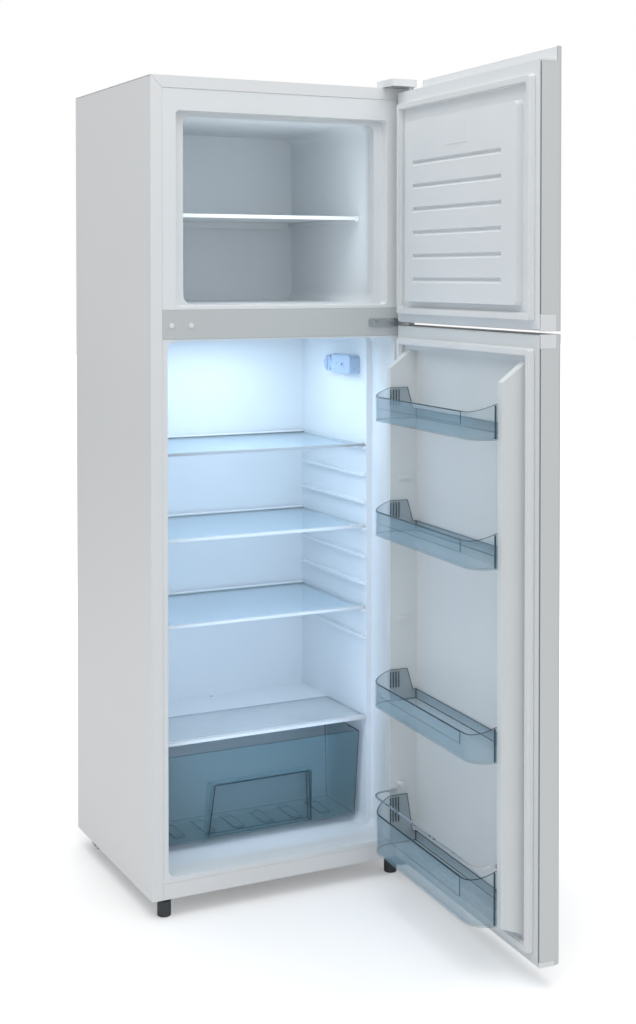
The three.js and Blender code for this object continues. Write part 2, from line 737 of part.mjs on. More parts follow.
function thermostatKnob() {
  const { middle, wall, knobY } = thermostatPlaces();
  const base = wall - thermostat.base - GAP;
  const dial = cylinder('x', thermostat.knob, base - thermostat.knobProud, base, knobY, middle, 24);
  const grip = block([base - thermostat.knobProud - 3, base - thermostat.knobProud + 1],
    [knobY - 2.5, knobY + 2.5], [middle - thermostat.knob + 3, middle + thermostat.knob - 3]);
  return dial.add(grip);
}

/** Small lamp inside the housing. */
function lampBulb() {
  const { middle, wall, front } = thermostatPlaces();
  const x = wall - thermostat.proud / 2;
  const end = front + thermostat.length - 14;
  const socket = block([x - 5, wall], [end - 12, end], [middle - 8, middle + 8]);
  return cylinder('y', 7, end - 34, end - 2, x, middle, 14).add(socket);
}

// ---------------------------------------------------------------- hinges and feet

function topHingeBracket() {
  const z = cabinet.height + GAP;
  const plate = prism('z', roundedRect(pivot.x - topHinge.length + 14, pivot.x + 8, pivot.y - 8,
    topHinge.back - 5, 6), z, z + hinge.plate, 3);
  const pin = cylinder('z', hinge.pin, upper.top - 12, z + hinge.plate + 1, pivot.x, pivot.y);
  const collar = cylinder('z', hinge.pin + 3, upper.top + 1, z + 1, pivot.x, pivot.y);
  return plate.add(pin).add(collar);
}

function topHingeCover() {
  const z = cabinet.height + GAP;
  const wall = topHinge.coverWall;
  const x = [pivot.x - topHinge.length + 10, pivot.x + 11];
  const y = [pivot.y - 11, topHinge.back];
  const outer = prism('z', roundedRect(x[0], x[1], y[0], y[1], 6), z, z + topHinge.coverHeight, 4);
  const inner = prism('z', roundedRect(x[0] + wall, x[1] - wall, y[0] + wall, y[1] - wall, 4),
    z - 1, z + topHinge.coverHeight - wall, 4);
  return outer.subtract(inner);
}

/** Middle hinge: screwed to the crossbar, with an arm in the gap that carries a pin for each door. */
function middleHingeBracket() {
  const [far, near] = plugPlaces();
  const gapMiddle = (upper.bottom + lower.top) / 2;
  const arm = [gapMiddle - hinge.plate / 2, gapMiddle + hinge.plate / 2];
  const plate = prism('y', roundedRect(far - 12, halfWidth - 9, hingeLevel - middleHinge.plateHeight / 2,
    hingeLevel + middleHinge.plateHeight / 2, 4), -hinge.plate, 0, 3);
  const reach = prism('z', polygon([
    [near + 8, -0.5], [halfWidth - 9, -0.5], [pivot.x + 9, pivot.y - 4], [pivot.x + 5, pivot.y - 9],
    [pivot.x - 6, pivot.y - 9], [pivot.x - 10, pivot.y - 3]]), arm[0], arm[1]);
  const pin = cylinder('z', hinge.pin, lower.top - 12, upper.bottom + 12, pivot.x, pivot.y);
  const holes = [far, near].map((x) => cylinder('y', middleHinge.screw + GAP, -9, 3, x, hingeLevel, 12));
  return plate.add(reach).add(pin).subtract(union(holes));
}

/** Cross-headed screw of the middle hinge. */
function middleHingeScrew(place) {
  const { screw, headHeight, crossHalf, crossWidth, crossDepth } = middleHinge;
  const seat = -hinge.plate - GAP;
  const crown = seat - headHeight;
  const head = cylinder('y', screw + 1.6, crown, seat, place, hingeLevel, 14);
  const shank = cylinder('y', plug.stem - 0.4, seat - 1, crossbar.depth - 2, place, hingeLevel, 10);
  const arm = (halfX, halfZ) => block([place - halfX, place + halfX], [crown - 1, crown + crossDepth],
    [hingeLevel - halfZ, hingeLevel + halfZ]);
  return head.add(shank).subtract(arm(crossHalf, crossWidth / 2)).subtract(arm(crossWidth / 2, crossHalf));
}

function bottomHingeBracket() {
  const z = cabinet.base - GAP;
  const footX = halfWidth - foot.fromSide;
  const rim = foot.neck + GAP + hinge.plate;
  const plate = prism('z', roundedRect(footX - rim, halfWidth - 4, pivot.y - 9, foot.fromFront + rim + 20, 6),
    z - hinge.plate, z, 3);
  const pin = cylinder('z', hinge.pin, z - 1, lower.bottom + 12, pivot.x, pivot.y);
  const neckHole = cylinder('z', foot.neck + GAP, z - hinge.plate - 1, z + 1, footX, foot.fromFront);
  return plate.add(pin).subtract(neckHole);
}

function levellingFoot(side) {
  const x = side * (halfWidth - foot.fromSide);
  const top = cabinet.base - GAP;
  const pad = top - foot.neckHeight;
  const tip = cabinet.base + foot.studHeight;
  return turned([[0, 0], [foot.radius - 1.5, 0], [foot.radius, 1.5], [foot.radius, pad], [foot.neck, pad],
    [foot.neck, top], [foot.stud, top], [foot.stud, tip], [0, tip]], x, foot.fromFront, 20);
}

/** Holes for the studs of both feet, up through the base and into the foam. */
function studBores(play) {
  const top = cabinet.base + foot.studHeight + 2;
  return union([-1, 1].map((side) => cylinder('z', foot.stud + play, cabinet.base - 5, top,
    side * (halfWidth - foot.fromSide), foot.fromFront, 20)));
}

/** Cross rail at the rear: carries the compressor and, in two pairs of ears, the rear rollers. */
function compressorRail() {
  const { radius, width, fromSide, fromRear, axle, ear } = roller;
  const top = cabinet.base + rail.thickness + 1;
  const y = [cabinet.depth - rail.depth - 4, cabinet.depth - 4];
  const half = innerHalf - GAP;
  const pieces = [block([-half, half], y, [top - rail.thickness, top])];
  pieces.push(block([-half, half], [y[0], y[0] + rail.thickness], [cabinet.base - 8, top]));
  for (const side of [-1, 1]) {
    const x = side * (halfWidth - fromSide);
    for (const cheek of [-1, 1]) {
      const middle = x + cheek * (width / 2 + 1 + ear / 2);
      pieces.push(block([middle - ear / 2, middle + ear / 2],
        [cabinet.depth - fromRear - 9, cabinet.depth - fromRear + 9], [radius - 7, top - 0.5]));
    }
    pieces.push(cylinder('x', axle, x - width / 2 - ear - 0.5, x + width / 2 + ear + 0.5,
      cabinet.depth - fromRear, radius, 12));
  }
  return union(pieces);
}

function rearRoller(side) {
  const x = side * (halfWidth - roller.fromSide);
  const y = cabinet.depth - roller.fromRear;
  const { radius, width, axle } = roller;
  return cylinder('x', radius, x - width / 2, x + width / 2, y, radius, 24)
    .subtract(cylinder('x', axle + GAP, x - width, x + width, y, radius, 12));
}

// ---------------------------------------------------------------- cooling machinery

const compressorY = cabinet.depth - bay.depth / 2 + 4;
const compressorFoot = cabinet.base + rail.thickness + 1 + GAP;

function compressorBody() {
  const { radius, height, fromCentre, plate, grommet } = compressor;
  const z = compressorFoot + grommet;
  const wall = radius * 0.95;
  const seam = [z + height * 0.5, z + height * 0.54];
  const dome = turned([[0, z + plate - 1], [radius * 0.72, z + plate - 1], [radius * 0.93, z + 20],
    [wall, seam[0]], [radius, seam[0]], [radius, seam[1]], [wall, seam[1]], [radius * 0.94, z + height * 0.8],
    [radius * 0.7, z + height * 0.95], [radius * 0.3, z + height], [0, z + height]],
  fromCentre, compressorY, 22);
  const base = prism('z', roundedRect(fromCentre - radius - 14, fromCentre + radius + 14, compressorY - 46,
    compressorY + 46, 10), z, z + plate, 3);
  const feet = [-1, 1].flatMap((sx) => [-1, 1].map((sy) => cylinder('z', 9, compressorFoot, z + 1,
    fromCentre + sx * (radius + 2), compressorY + sy * 34, 12)));
  return union([dome, base, ...feet]);
}

/** Cover of the starting relay, on the compressor's inner side. */
function relayCover() {
  const { fromCentre, radius } = compressor;
  const x = fromCentre - radius;
  const z = compressorFoot + 44;
  return block([x - 24, x + 16], [compressorY - 28, compressorY + 22], [z, z + 62])
    .subtract(cylinder('z', radius + GAP, z - 1, z + 63, fromCentre, compressorY, 44));
}

function dripTray() {
  const z = compressorFoot + compressor.grommet + compressor.height + GAP;
  const x = compressor.fromCentre;
  const outline = (inset) => roundedRect(-40 + inset, x + 75 - inset, compressorY - 58 + inset,
    compressorY + 56 - inset, 12 - inset);
  const height = Math.min(20, bayTop - cabinet.sheet - z - 8);
  return prism('z', outline(0), z, z + height, 3).subtract(prism('z', outline(2), z + 2, z + height + 1, 3));
}

function filterDrier() {
  const z = compressorFoot;
  const { pipe, can, shoulder, length, x, behind } = drier;
  return turned([[0, z], [pipe, z], [pipe, z + shoulder], [can, z + 2 * shoulder],
    [can, z + length - 3 * shoulder], [pipe, z + length - 2 * shoulder], [pipe, z + length], [0, z + length]],
  x, compressorY + behind, 14);
}

/** Straight passes of tube joined by round bends, on four pads that stand it off the back panel. */
function condenserCoil() {
  const { tube: radius, passes, sideInset, standOff, topInset, aboveBay, pad } = condenser;
  const y = cabinet.depth + standOff;
  const top = cabinet.height - topInset;
  const pitch = (top - bayTop - aboveBay) / (passes - 1);
  const straight = halfWidth - sideInset - pitch / 2;
  const pieces = [];
  for (let i = 0; i < passes; i += 1) {
    const z = top - pitch * i;
    pieces.push(cylinder('x', radius, -straight - 0.5, straight + 0.5, y, z, 6));
    if (i < passes - 1) {
      pieces.push(returnBend(i % 2 === 0 ? 1 : -1, straight, y, z - pitch / 2, pitch / 2, radius));
    }
  }
  for (const side of [-1, 1]) {
    for (const index of [1, passes - 2]) {
      const x = side * straight * condenser.padShare;
      const z = top - pitch * index;
      pieces.push(block([x - pad, x + pad], [cabinet.depth - cabinet.sheet, y + 1], [z - pad, z + pad]));
    }
  }
  return union(pieces);
}

/** Half ring of tube at the end of a pass. */
function returnBend(side, x, y, z, bend, radius) {
  const geometry = new THREE.TorusGeometry(bend, radius, 6, 14);
  geometry.rotateX(Math.PI / 2);
  geometry.translate(side * x, y, z);
  const kept = side > 0 ? [x, x + 2 * bend] : [-x - 2 * bend, -x];
  return toSolid(geometry).intersect(block(kept, [y - 9, y + 9], [z - 2 * bend, z + 2 * bend]));
}

function cordGland() {
  const rear = cabinet.depth - cabinet.sheet - GAP;
  const body = cylinder('y', gland.radius, rear - 8, rear + 6, gland.x, gland.z, 18);
  const collar = cylinder('y', gland.flange, rear + GAP, rear + 4, gland.x, gland.z, 18);
  return body.add(collar).subtract(cylinder('y', 4, rear - 9, rear + 7, gland.x, gland.z, 12));
}

// ---------------------------------------------------------------- doors

/** Outline of the skin in plan, or of the space inside it: square at the back, rounded at the front. */
function skinOutline(inset, back) {
  const radius = door.edgeRadius - inset;
  const x = halfWidth - inset;
  const front = doorY.skin + inset;
  const outline = new THREE.Shape();
  outline.moveTo(x, back);
  outline.lineTo(-x, back);
  outline.lineTo(-x, front + radius);
  outline.absarc(-x + radius, front + radius, radius, Math.PI, Math.PI * 1.5);
  outline.lineTo(x - radius, front);
  outline.absarc(x - radius, front + radius, radius, -Math.PI / 2, 0);
  return outline;
}

const linerBack = doorY.flange - liner.wall;
const skinBack = linerBack - GAP;

/** Steel skin of a door. Its front runs the full height, its sides stop at the end caps. */
function doorSkin(bottom, sideBottom, sideTop, top) {
  const outer = prism('z', skinOutline(0, skinBack), bottom, top, 4);
  const inner = prism('z', skinOutline(door.sheet, skinBack - door.sheet), bottom - 1, top + 1, 4);
  const mouth = block([-halfWidth + door.skinReturn, halfWidth - door.skinReturn],
    [skinBack - door.sheet - 1, skinBack + 1], [bottom - 1, top + 1]);
  const lowNotch = block([-halfWidth - 1, halfWidth + 1], [doorY.face, 0], [bottom - 1, sideBottom]);
  const highNotch = block([-halfWidth - 1, halfWidth + 1], [doorY.face, 0], [sideTop, top + 1]);
  return outer.subtract(inner).subtract(mouth).subtract(lowNotch).subtract(highNotch);
}

/** End cap that closes a door between two heights: its outer part shows, its tongue lies inside the skin. */
function endCap(bottom, top, pocketFrom, pocketTo) {
  const tongue = door.sheet + GAP;
  const shown = block([-halfWidth, halfWidth], [doorY.face + GAP, skinBack - GAP], [bottom, top]);
  const hidden = prism('z', skinOutline(tongue, doorY.face + GAP + 1), bottom, top, 4);
  const wall = 2.5;
  const pocket = block([-halfWidth + wall, halfWidth - wall], [doorY.face + wall, skinBack - wall],
    [pocketFrom, pocketTo]);
  const frontPocket = block([-halfWidth + door.edgeRadius + 3, halfWidth - door.edgeRadius - 3],
    [doorY.skin + tongue + wall, doorY.face], [pocketFrom, pocketTo]);
  return shown.add(hidden).subtract(pocket).subtract(frontPocket);
}

const hingeBoss = (from, to) => cylinder('z', hinge.boss, from, to, pivot.x, pivot.y);
const hingeHole = (from, to) => cylinder('z', hinge.pin + hinge.play, from, to, pivot.x, pivot.y);

function freezerSkin() {
  const skin = doorSkin(upper.bottom, upper.bottom + freezerDoor.bottomCap + GAP,
    upper.top - freezerDoor.topCap - GAP, upper.top + freezerDoor.lip);
  const notch = block([halfWidth - freezerDoor.lipNotch, halfWidth + 1], [doorY.skin - 1, 0],
    [upper.top, upper.top + freezerDoor.lip + 1]);
  return skin.subtract(notch);
}

/** Top cap of the freezer door, with the upstand that backs the skin's lip. */
function freezerTopCap() {
  const floor = upper.top - freezerDoor.topCap;
  const skirt = 12;
  const tongue = door.sheet + GAP;
  const plate = block([-halfWidth, halfWidth], [doorY.face + GAP, skinBack - GAP], [floor, upper.top]);
  const inside = prism('z', skinOutline(tongue, skinBack - door.sheet - GAP), floor - skirt, floor + 1, 4);
  const wall = 2.5;
  const hollow = prism('z', skinOutline(tongue + wall, skinBack - door.sheet - GAP - wall),
    floor - skirt - 1, floor, 4);
  const upstand = prism('z', skinOutline(tongue, doorY.face), floor, upper.top + freezerDoor.lip - 1, 4);
  const notch = block([halfWidth - freezerDoor.lipNotch, halfWidth + 1], [doorY.skin - 1, doorY.face + GAP],
    [upper.top, upper.top + freezerDoor.lip + 1]);
  const back = block([-halfWidth, halfWidth], [doorY.face, skinBack], [upper.top, upper.top + 50]);
  return plate.add(inside.subtract(hollow)).add(upstand.subtract(back)).subtract(notch)
    .add(hingeBoss(floor - 15, floor + 1)).subtract(hingeHole(floor - 14, upper.top + 1));
}

function freezerBottomCap() {
  const top = upper.bottom + freezerDoor.bottomCap;
  const cap = endCap(upper.bottom, top, upper.bottom + 3, top + 1);
  const recessUnder = block([-halfWidth + 4, halfWidth + 1], [doorY.face + 3, 0],
    [upper.bottom - 1, upper.bottom + 1.2]);
  return cap.add(hingeBoss(upper.bottom + 1.2, top - 8)).subtract(recessUnder)
    .subtract(hingeHole(upper.bottom - 1, top - 11));
}

/** Outline of the freezer door's plateau, which fits inside the freezer's lip. */
function plateauSolid(inset, from, to) {
  const play = freezerDoor.plateauPlay + inset;
  const corner = 9 - inset;
  const half = lip.half - play;
  const outline = roundedRect(-half, half, lip.bottom + play, lip.top - play - 3, corner);
  const share = 1 - (2 * freezerDoor.plateauDraft) / (2 * lip.half);
  return draftedAlongY(outline, from, to, share, share, 3);
}

/** Grooves across the plateau, grown by the given amount. */
function plateauGrooves(grow) {
  const { grooves, grooveHeight, grooveDepth, grooveTop, grooveFoot, grooveFree, grooveHinge } = freezerDoor;
  const top = lip.top - grooveTop;
  const pitch = (top - lip.bottom - grooveFoot) / (grooves - 1);
  const face = doorY.flange + freezerDoor.plateau;
  const floor = face - grooveDepth - grow;
  const half = grooveHeight / 2 + grow;
  const levels = Array.from({ length: grooves }, (_, index) => top - pitch * index);
  return union(levels.map((z) => prism('x', polygon([
    [floor, z - half * 0.1], [face, z - half], [face + 2, z - half], [face + 2, z + half], [face, z + half],
    [floor, z + half * 0.8]]), -lip.half + grooveFree - grow, lip.half - grooveHinge + grow)));
}

/** Plain raised pad in the middle of the plateau, under its top edge. */
function plateauPad() {
  const { width, height, below, proud } = freezerDoor.pad;
  const face = doorY.flange + freezerDoor.plateau;
  const top = lip.top - below;
  return block([-width / 2, width / 2], [face - liner.wall / 2, face + proud], [top - height, top]);
}

function doorFlange(bottom, top) {
  return block([-halfWidth + door.flangeInset, halfWidth - door.flangeInset], [linerBack, doorY.flange],
    [bottom + door.flangeInset, top - door.flangeInset + 2]);
}

function freezerDoorLiner() {
  const flange = doorFlange(upper.bottom + 1, upper.top);
  const face = doorY.flange + freezerDoor.plateau;
  const shell = flange.add(plateauSolid(0, linerBack, face));
  const core = plateauSolid(liner.wall, linerBack - 1, face - liner.wall)
    .subtract(plateauGrooves(liner.wall));
  return shell.subtract(core).subtract(plateauGrooves(0)).add(plateauPad());
}

function doorFoamBlock(bottom, top) {
  const inset = door.sheet + GAP;
  return prism('z', skinOutline(inset, skinBack - door.sheet - GAP), bottom, top, 4);
}

function freezerDoorFoam() {
  const face = doorY.flange + freezerDoor.plateau;
  const bottom = upper.bottom + freezerDoor.bottomCap + GAP;
  const top = upper.top - freezerDoor.topCap - 16;
  const core = plateauSolid(liner.wall + GAP, skinBack - door.sheet - 2, face - liner.wall - GAP)
    .subtract(plateauGrooves(liner.wall + GAP));
  return doorFoamBlock(bottom, top).add(core);
}

/** Hollow seal: a ring on the liner's flange with a raised magnet bead along its middle. */
function doorGasket(bottom, top) {
  const low = bottom + gasket.fromSide;
  const high = top - gasket.fromTop;
  const half = halfWidth - gasket.fromSide;
  const y = [doorY.flange + GAP, doorY.flange + gasket.height];
  const ring = (inset, width, span) => prism('y', roundedRect(-half + inset, half - inset, low + inset,
    high - inset, 6 - Math.min(inset, 4)), ...span, 2).subtract(prism('y', roundedRect(-half + inset + width,
    half - inset - width, low + inset + width, high - inset - width, 3), span[0] - 1, span[1] + 1, 2));
  return ring(0, gasket.width, [y[0], y[1] - gasket.magnetBead]).add(
    ring(2, gasket.width - 4, [y[1] - gasket.magnetBead - 1, y[1]]));
}

function fridgeTopCap() {
  const bottom = lower.top - fridgeDoor.topCap;
  const cap = endCap(bottom, lower.top, bottom - 1, lower.top - 3);
  const step = block([-halfWidth + 4, halfWidth + 1], [doorY.face + 3, 0], [lower.top - 1.2, lower.top + 1]);
  return cap.add(hingeBoss(bottom + 6, lower.top - 1.2)).subtract(step)
    .subtract(hingeHole(bottom + 9, lower.top + 1));
}

function fridgeBottomCap() {
  const top = lower.bottom + fridgeDoor.bottomCap;
  return endCap(lower.bottom, top, lower.bottom + 2.5, top + 1)
    .add(hingeBoss(lower.bottom, top + 5)).subtract(hingeHole(lower.bottom - 1, top + 4));
}

/** Upright ridge beside the door's recess, on the hinge side, grown or shrunk by the given amount. */
function dikeSolid(inset, back) {
  const crest = doorY.flange + fridgeDoor.dike - inset;
  const inner = dikeHalf + inset;
  const outer = dikeHalf + fridgeDoor.dikeWidth - inset;
  const plan = polygon([[inner, back], [outer, back], [outer, doorY.flange - inset], [outer - 5, crest],
    [inner, crest]]);
  const side = polygon([
    [back - 1, recess.bottom + inset], [back - 1, recess.top - inset], [doorY.flange, recess.top - inset],
    [crest + 1, recess.top - fridgeDoor.dike * 0.8 - inset], [crest + 1, recess.bottom + 16 + inset],
    [doorY.flange, recess.bottom + inset]]);
  return prism('z', plan, recess.bottom - 1, recess.top + 1)
    .intersect(prism('x', side, 0, halfWidth));
}

function recessPan(grow, front) {
  return block([-dikeHalf - grow, dikeHalf + grow], [doorY.flange - fridgeDoor.recess - grow, front],
    [recess.bottom - grow, recess.top + grow]);
}

/** Small shelves on the ridges' inner sides, one pair under each bin and one between bins. */
function binNubs() {
  const levels = bins.map((bin) => binFloor(bin) - GAP);
  levels.push((binFloor(bins[2]) + binFloor(bins[3])) / 2, (binFloor(bins[1]) + binFloor(bins[2])) / 2);
  return union(levels.map((z) => block([dikeHalf - binShape.nub, dikeHalf + 1],
    [doorY.flange + 4, doorY.flange + 26], [z - 8, z])));
}

/** Stop peg over the end of the bottle rail, on a ridge's inner side. */
function railPeg() {
  const { above, pegRadius, pegLength, pegAbove, pegOut } = guardRail;
  return cylinder('x', pegRadius, dikeHalf - pegLength, dikeHalf + 1, doorY.flange + pegOut,
    binFloor(bins[0]) + above + pegAbove, 14);
}

function fridgeDoorLiner() {
  const { wall } = liner;
  const flange = doorFlange(lower.bottom + 1, lower.top - 2);
  const dike = dikeSolid(0, linerBack);
  const dikeCore = dikeSolid(wall, linerBack - 1);
  const shell = flange.add(recessPan(wall, linerBack)).add(dike).add(mirrorX(dike));
  const hollow = shell.subtract(recessPan(0, doorY.flange + 1))
    .subtract(dikeCore).subtract(mirrorX(dikeCore));
  const fittings = binNubs().add(railPeg());
  return hollow.add(fittings).add(mirrorX(fittings));
}

function fridgeDoorFoam() {
  const bottom = lower.bottom + fridgeDoor.bottomCap + 6;
  const top = lower.top - fridgeDoor.topCap - GAP;
  const grown = liner.wall + GAP;
  const core = dikeSolid(grown, skinBack - door.sheet - 2);
  const bossRoom = cylinder('z', hinge.boss + GAP, bottom - 1, bottom + 2, pivot.x, pivot.y);
  return doorFoamBlock(bottom, top).subtract(recessPan(grown, 0)).add(core).add(mirrorX(core))
    .subtract(bossRoom);
}

/** Bin between the ridges: rounded front corners, ends that rise towards the door, low back. */
function doorBin(bin) {
  const half = dikeHalf - binShape.play;
  const floor = binFloor(bin) + GAP;
  const back = doorY.flange - fridgeDoor.recess + 2 * GAP;
  const front = doorY.flange + binShape.reach;
  const rim = floor + bin.end - 2;
  const plan = (inset) => {
    const outline = new THREE.Shape();
    const radius = bin.radius - inset;
    outline.moveTo(-half + inset, back + inset);
    outline.lineTo(half - inset, back + inset);
    outline.lineTo(half - inset, front - inset - radius);
    outline.absarc(half - inset - radius, front - inset - radius, radius, 0, Math.PI / 2);
    outline.lineTo(-half + inset + radius, front - inset);
    outline.absarc(-half + inset + radius, front - inset - radius, radius, Math.PI / 2, Math.PI);
    return outline;
  };
  const outer = prism('z', plan(0), floor, floor + bin.end, 5);
  const inner = prism('z', plan(binShape.wall), floor + binShape.wall, floor + bin.end + 1, 5);
  const endFront = doorY.flange + fridgeDoor.dike + 2;
  const over = polygon([
    [back - 1, floor + binShape.backHeight], [back + 8, floor + binShape.backHeight],
    [back + 8 + binShape.endBack, rim], [endFront, rim], [front + 1, floor + bin.front - 2],
    [front + 1, rim + 4], [back - 1, rim + 4]]);
  return outer.subtract(inner).subtract(prism('x', over, -halfWidth, halfWidth));
}

/** Wire rail above the deep bin, clipped into the ridges. */
function bottleRail() {
  const half = dikeHalf - GAP - 0.5;
  const z = binFloor(bins[0]) + guardRail.above;
  const start = doorY.flange + fridgeDoor.dike - 8;
  const front = doorY.flange + binShape.reach - 4;
  const { bend, radius } = guardRail;
  const path = new THREE.CurvePath();
  const at = (x, y) => new THREE.Vector3(x, y, z);
  path.add(new THREE.LineCurve3(at(-half, start), at(-half, front - bend)));
  path.add(new THREE.QuadraticBezierCurve3(at(-half, front - bend), at(-half, front),
    at(-half + bend, front)));
  path.add(new THREE.LineCurve3(at(-half + bend, front), at(half - bend, front)));
  path.add(new THREE.QuadraticBezierCurve3(at(half - bend, front), at(half, front), at(half, front - bend)));
  path.add(new THREE.LineCurve3(at(half, front - bend), at(half, start)));
  const feet = [-1, 1].map((side) => block([side * half - radius, side * half + radius],
    [start - 6, start + 10], [z - 5, z + radius]));
  return tube(path, radius, 60, 8).add(union(feet)).intersect(
    block([-half, half], [start - 10, front + 20], [z - 20, z + 20]));
}

// ---------------------------------------------------------------- assembly

/** Turns a door group, laid out shut, about the hinge line. */
function hungDoor(meshes) {
  const leaf = new THREE.Group();
  leaf.add(...meshes);
  leaf.position.set(-pivot.x, -pivot.y, 0);
  const swing = new THREE.Group();
  swing.position.set(pivot.x, pivot.y, 0);
  swing.rotation.z = THREE.MathUtils.degToRad(door.openAngle);
  swing.add(leaf);
  return swing;
}

function shelfMeshes() {
  return fridge.shelfLevels.flatMap((runner, index) => {
    const level = runnerLevel(runner);
    return [
      part(`shelf_glass_${index + 1}`, shelfPane(level), 'glass'),
      part(`shelf_frame_${index + 1}`, shelfFrame(level), 'trim'),
    ];
  });
}

function cabinetGroup() {
  const group = new THREE.Group();
  const left = leftSidePanel();
  group.add(
    part('left_side_panel', left, 'paint'),
    part('right_side_panel', mirrorX(left), 'paint'),
    part('top_panel', topPanel(), 'paint'),
    part('back_panel', backPanel(), 'galvanised'),
    part('base_pan', basePan(), 'paint'),
    part('cabinet_foam', cabinetFoam(), 'foam'),
    part('freezer_liner', freezerLiner(), 'liner'),
    part('fridge_liner', fridgeLiner(), 'liner'),
    part('centre_crossbar', centreCrossbar(), 'paint'),
    ...plugPlaces().map((place, index) => part(`hinge_hole_plug_${index + 1}`, holePlug(place), 'trim')),
    part('top_hinge', topHingeBracket(), 'zinc'),
    part('top_hinge_cover', topHingeCover(), 'trim'),
    part('middle_hinge', middleHingeBracket(), 'zinc'),
    ...plugPlaces().map((x, index) => part(`middle_hinge_screw_${index + 1}`, middleHingeScrew(x), 'zinc')),
    part('bottom_hinge', bottomHingeBracket(), 'zinc'),
    part('compressor_rail', compressorRail(), 'galvanised'),
    part('compressor', compressorBody(), 'darkSteel'),
    part('relay_cover', relayCover(), 'black'),
    part('drip_tray', dripTray(), 'black'),
    part('drain_tube', drainTube(), 'grey'),
    part('filter_drier', filterDrier(), 'copper'),
    part('condenser_coil', condenserCoil(), 'darkSteel'),
    part('evaporator_plate', evaporator(0), 'galvanised'),
    part('cord_gland', cordGland(), 'black'),
    part('thermostat_housing', thermostatHousing(), 'liner'),
    part('lamp_bulb', lampBulb(), 'glass'),
    part('thermostat_knob', thermostatKnob(), 'clear'),
    part('freezer_shelf', freezerShelfPlate(), 'trim'),
    ...shelfMeshes(),
    part('crisper_cover_glass', crisperCover(), 'glass'),
    part('crisper_cover_trim', crisperTrim(), 'trim'),
    part('crisper_drawer', crisperDrawer(), 'clear'),
    part('levelling_foot_left', levellingFoot(-1), 'black'),
    part('levelling_foot_right', levellingFoot(1), 'black'),
    part('rear_roller_left', rearRoller(-1), 'black'),
    part('rear_roller_right', rearRoller(1), 'black'),
  );
  return group;
}

function freezerDoorMeshes() {
  return [
    part('freezer_door_skin', freezerSkin(), 'paint'),
    part('freezer_door_foam', freezerDoorFoam(), 'foam'),
    part('freezer_door_liner', freezerDoorLiner(), 'liner'),
    part('freezer_door_gasket', doorGasket(upper.bottom, upper.top), 'rubber'),
    part('freezer_door_top_cap', freezerTopCap(), 'trim'),
    part('freezer_door_bottom_cap', freezerBottomCap(), 'trim'),
  ];
}

function fridgeDoorMeshes() {
  const skin = doorSkin(lower.bottom + 1, lower.bottom + fridgeDoor.bottomCap + GAP,
    lower.top - fridgeDoor.topCap - GAP, lower.top);
  return [
    part('fridge_door_skin', skin, 'paint'),
    part('fridge_door_foam', fridgeDoorFoam(), 'foam'),
    part('fridge_door_liner', fridgeDoorLiner(), 'liner'),
    part('fridge_door_gasket', doorGasket(lower.bottom, lower.top), 'rubber'),
    part('fridge_door_top_cap', fridgeTopCap(), 'trim'),
    part('fridge_door_bottom_cap', fridgeBottomCap(), 'trim'),
    ...bins.map((bin, index) => part(`door_bin_${index + 1}`, doorBin(bin), 'clear')),
    part('bottle_rail', bottleRail(), 'zinc'),
  ];
}

/** Moves the object so that the origin is on the floor under the middle of its outline. */
function centredOnFloor(group) {
  group.updateMatrixWorld(true);
  const middle = new THREE.Box3().setFromObject(group, true).getCenter(new THREE.Vector3());
  group.position.set(-middle.x, -middle.y, 0);
  return group;
}

const refrigerator = new THREE.Group();
refrigerator.add(cabinetGroup(), hungDoor(freezerDoorMeshes()), hungDoor(fridgeDoorMeshes()));

export default centredOnFloor(refrigerator);
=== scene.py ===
"""Looks of a two-door top freezer refrigerator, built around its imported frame.

Every place comes from the frame's own boxes, in metres. The cabinet stands with its front towards -Y,
and both doors are swung open on its right.
"""

from __future__ import annotations

import json
import logging
import math
from dataclasses import dataclass, field
from enum import Enum
from typing import Sequence

import bpy
from mathutils import Matrix, Vector

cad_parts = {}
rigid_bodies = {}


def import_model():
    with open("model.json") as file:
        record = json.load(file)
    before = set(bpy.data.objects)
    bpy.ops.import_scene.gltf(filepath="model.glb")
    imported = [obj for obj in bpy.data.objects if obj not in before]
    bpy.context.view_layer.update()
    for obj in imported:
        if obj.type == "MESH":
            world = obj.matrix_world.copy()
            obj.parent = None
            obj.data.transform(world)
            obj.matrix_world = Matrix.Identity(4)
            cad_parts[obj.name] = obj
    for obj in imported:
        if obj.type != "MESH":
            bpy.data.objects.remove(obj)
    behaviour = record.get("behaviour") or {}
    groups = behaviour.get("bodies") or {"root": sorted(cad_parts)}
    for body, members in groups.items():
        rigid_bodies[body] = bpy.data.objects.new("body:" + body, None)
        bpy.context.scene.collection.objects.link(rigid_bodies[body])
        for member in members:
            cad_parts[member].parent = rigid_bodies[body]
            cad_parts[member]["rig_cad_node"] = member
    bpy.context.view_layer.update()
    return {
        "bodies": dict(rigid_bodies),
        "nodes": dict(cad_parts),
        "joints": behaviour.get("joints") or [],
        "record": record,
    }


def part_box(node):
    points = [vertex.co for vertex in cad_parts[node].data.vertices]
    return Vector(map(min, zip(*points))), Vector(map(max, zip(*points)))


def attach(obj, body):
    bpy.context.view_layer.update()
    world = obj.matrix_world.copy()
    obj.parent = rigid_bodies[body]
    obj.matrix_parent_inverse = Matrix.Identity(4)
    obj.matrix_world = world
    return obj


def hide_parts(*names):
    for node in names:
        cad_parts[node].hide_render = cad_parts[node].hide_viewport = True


LOG = logging.getLogger("refrigerator")
MM = 0.001

# Part of a noise pattern's 0 to 1 that it mostly stays in.
MIDDLE_RANGE = (0.3, 0.7)

Colour = tuple[float, float, float]


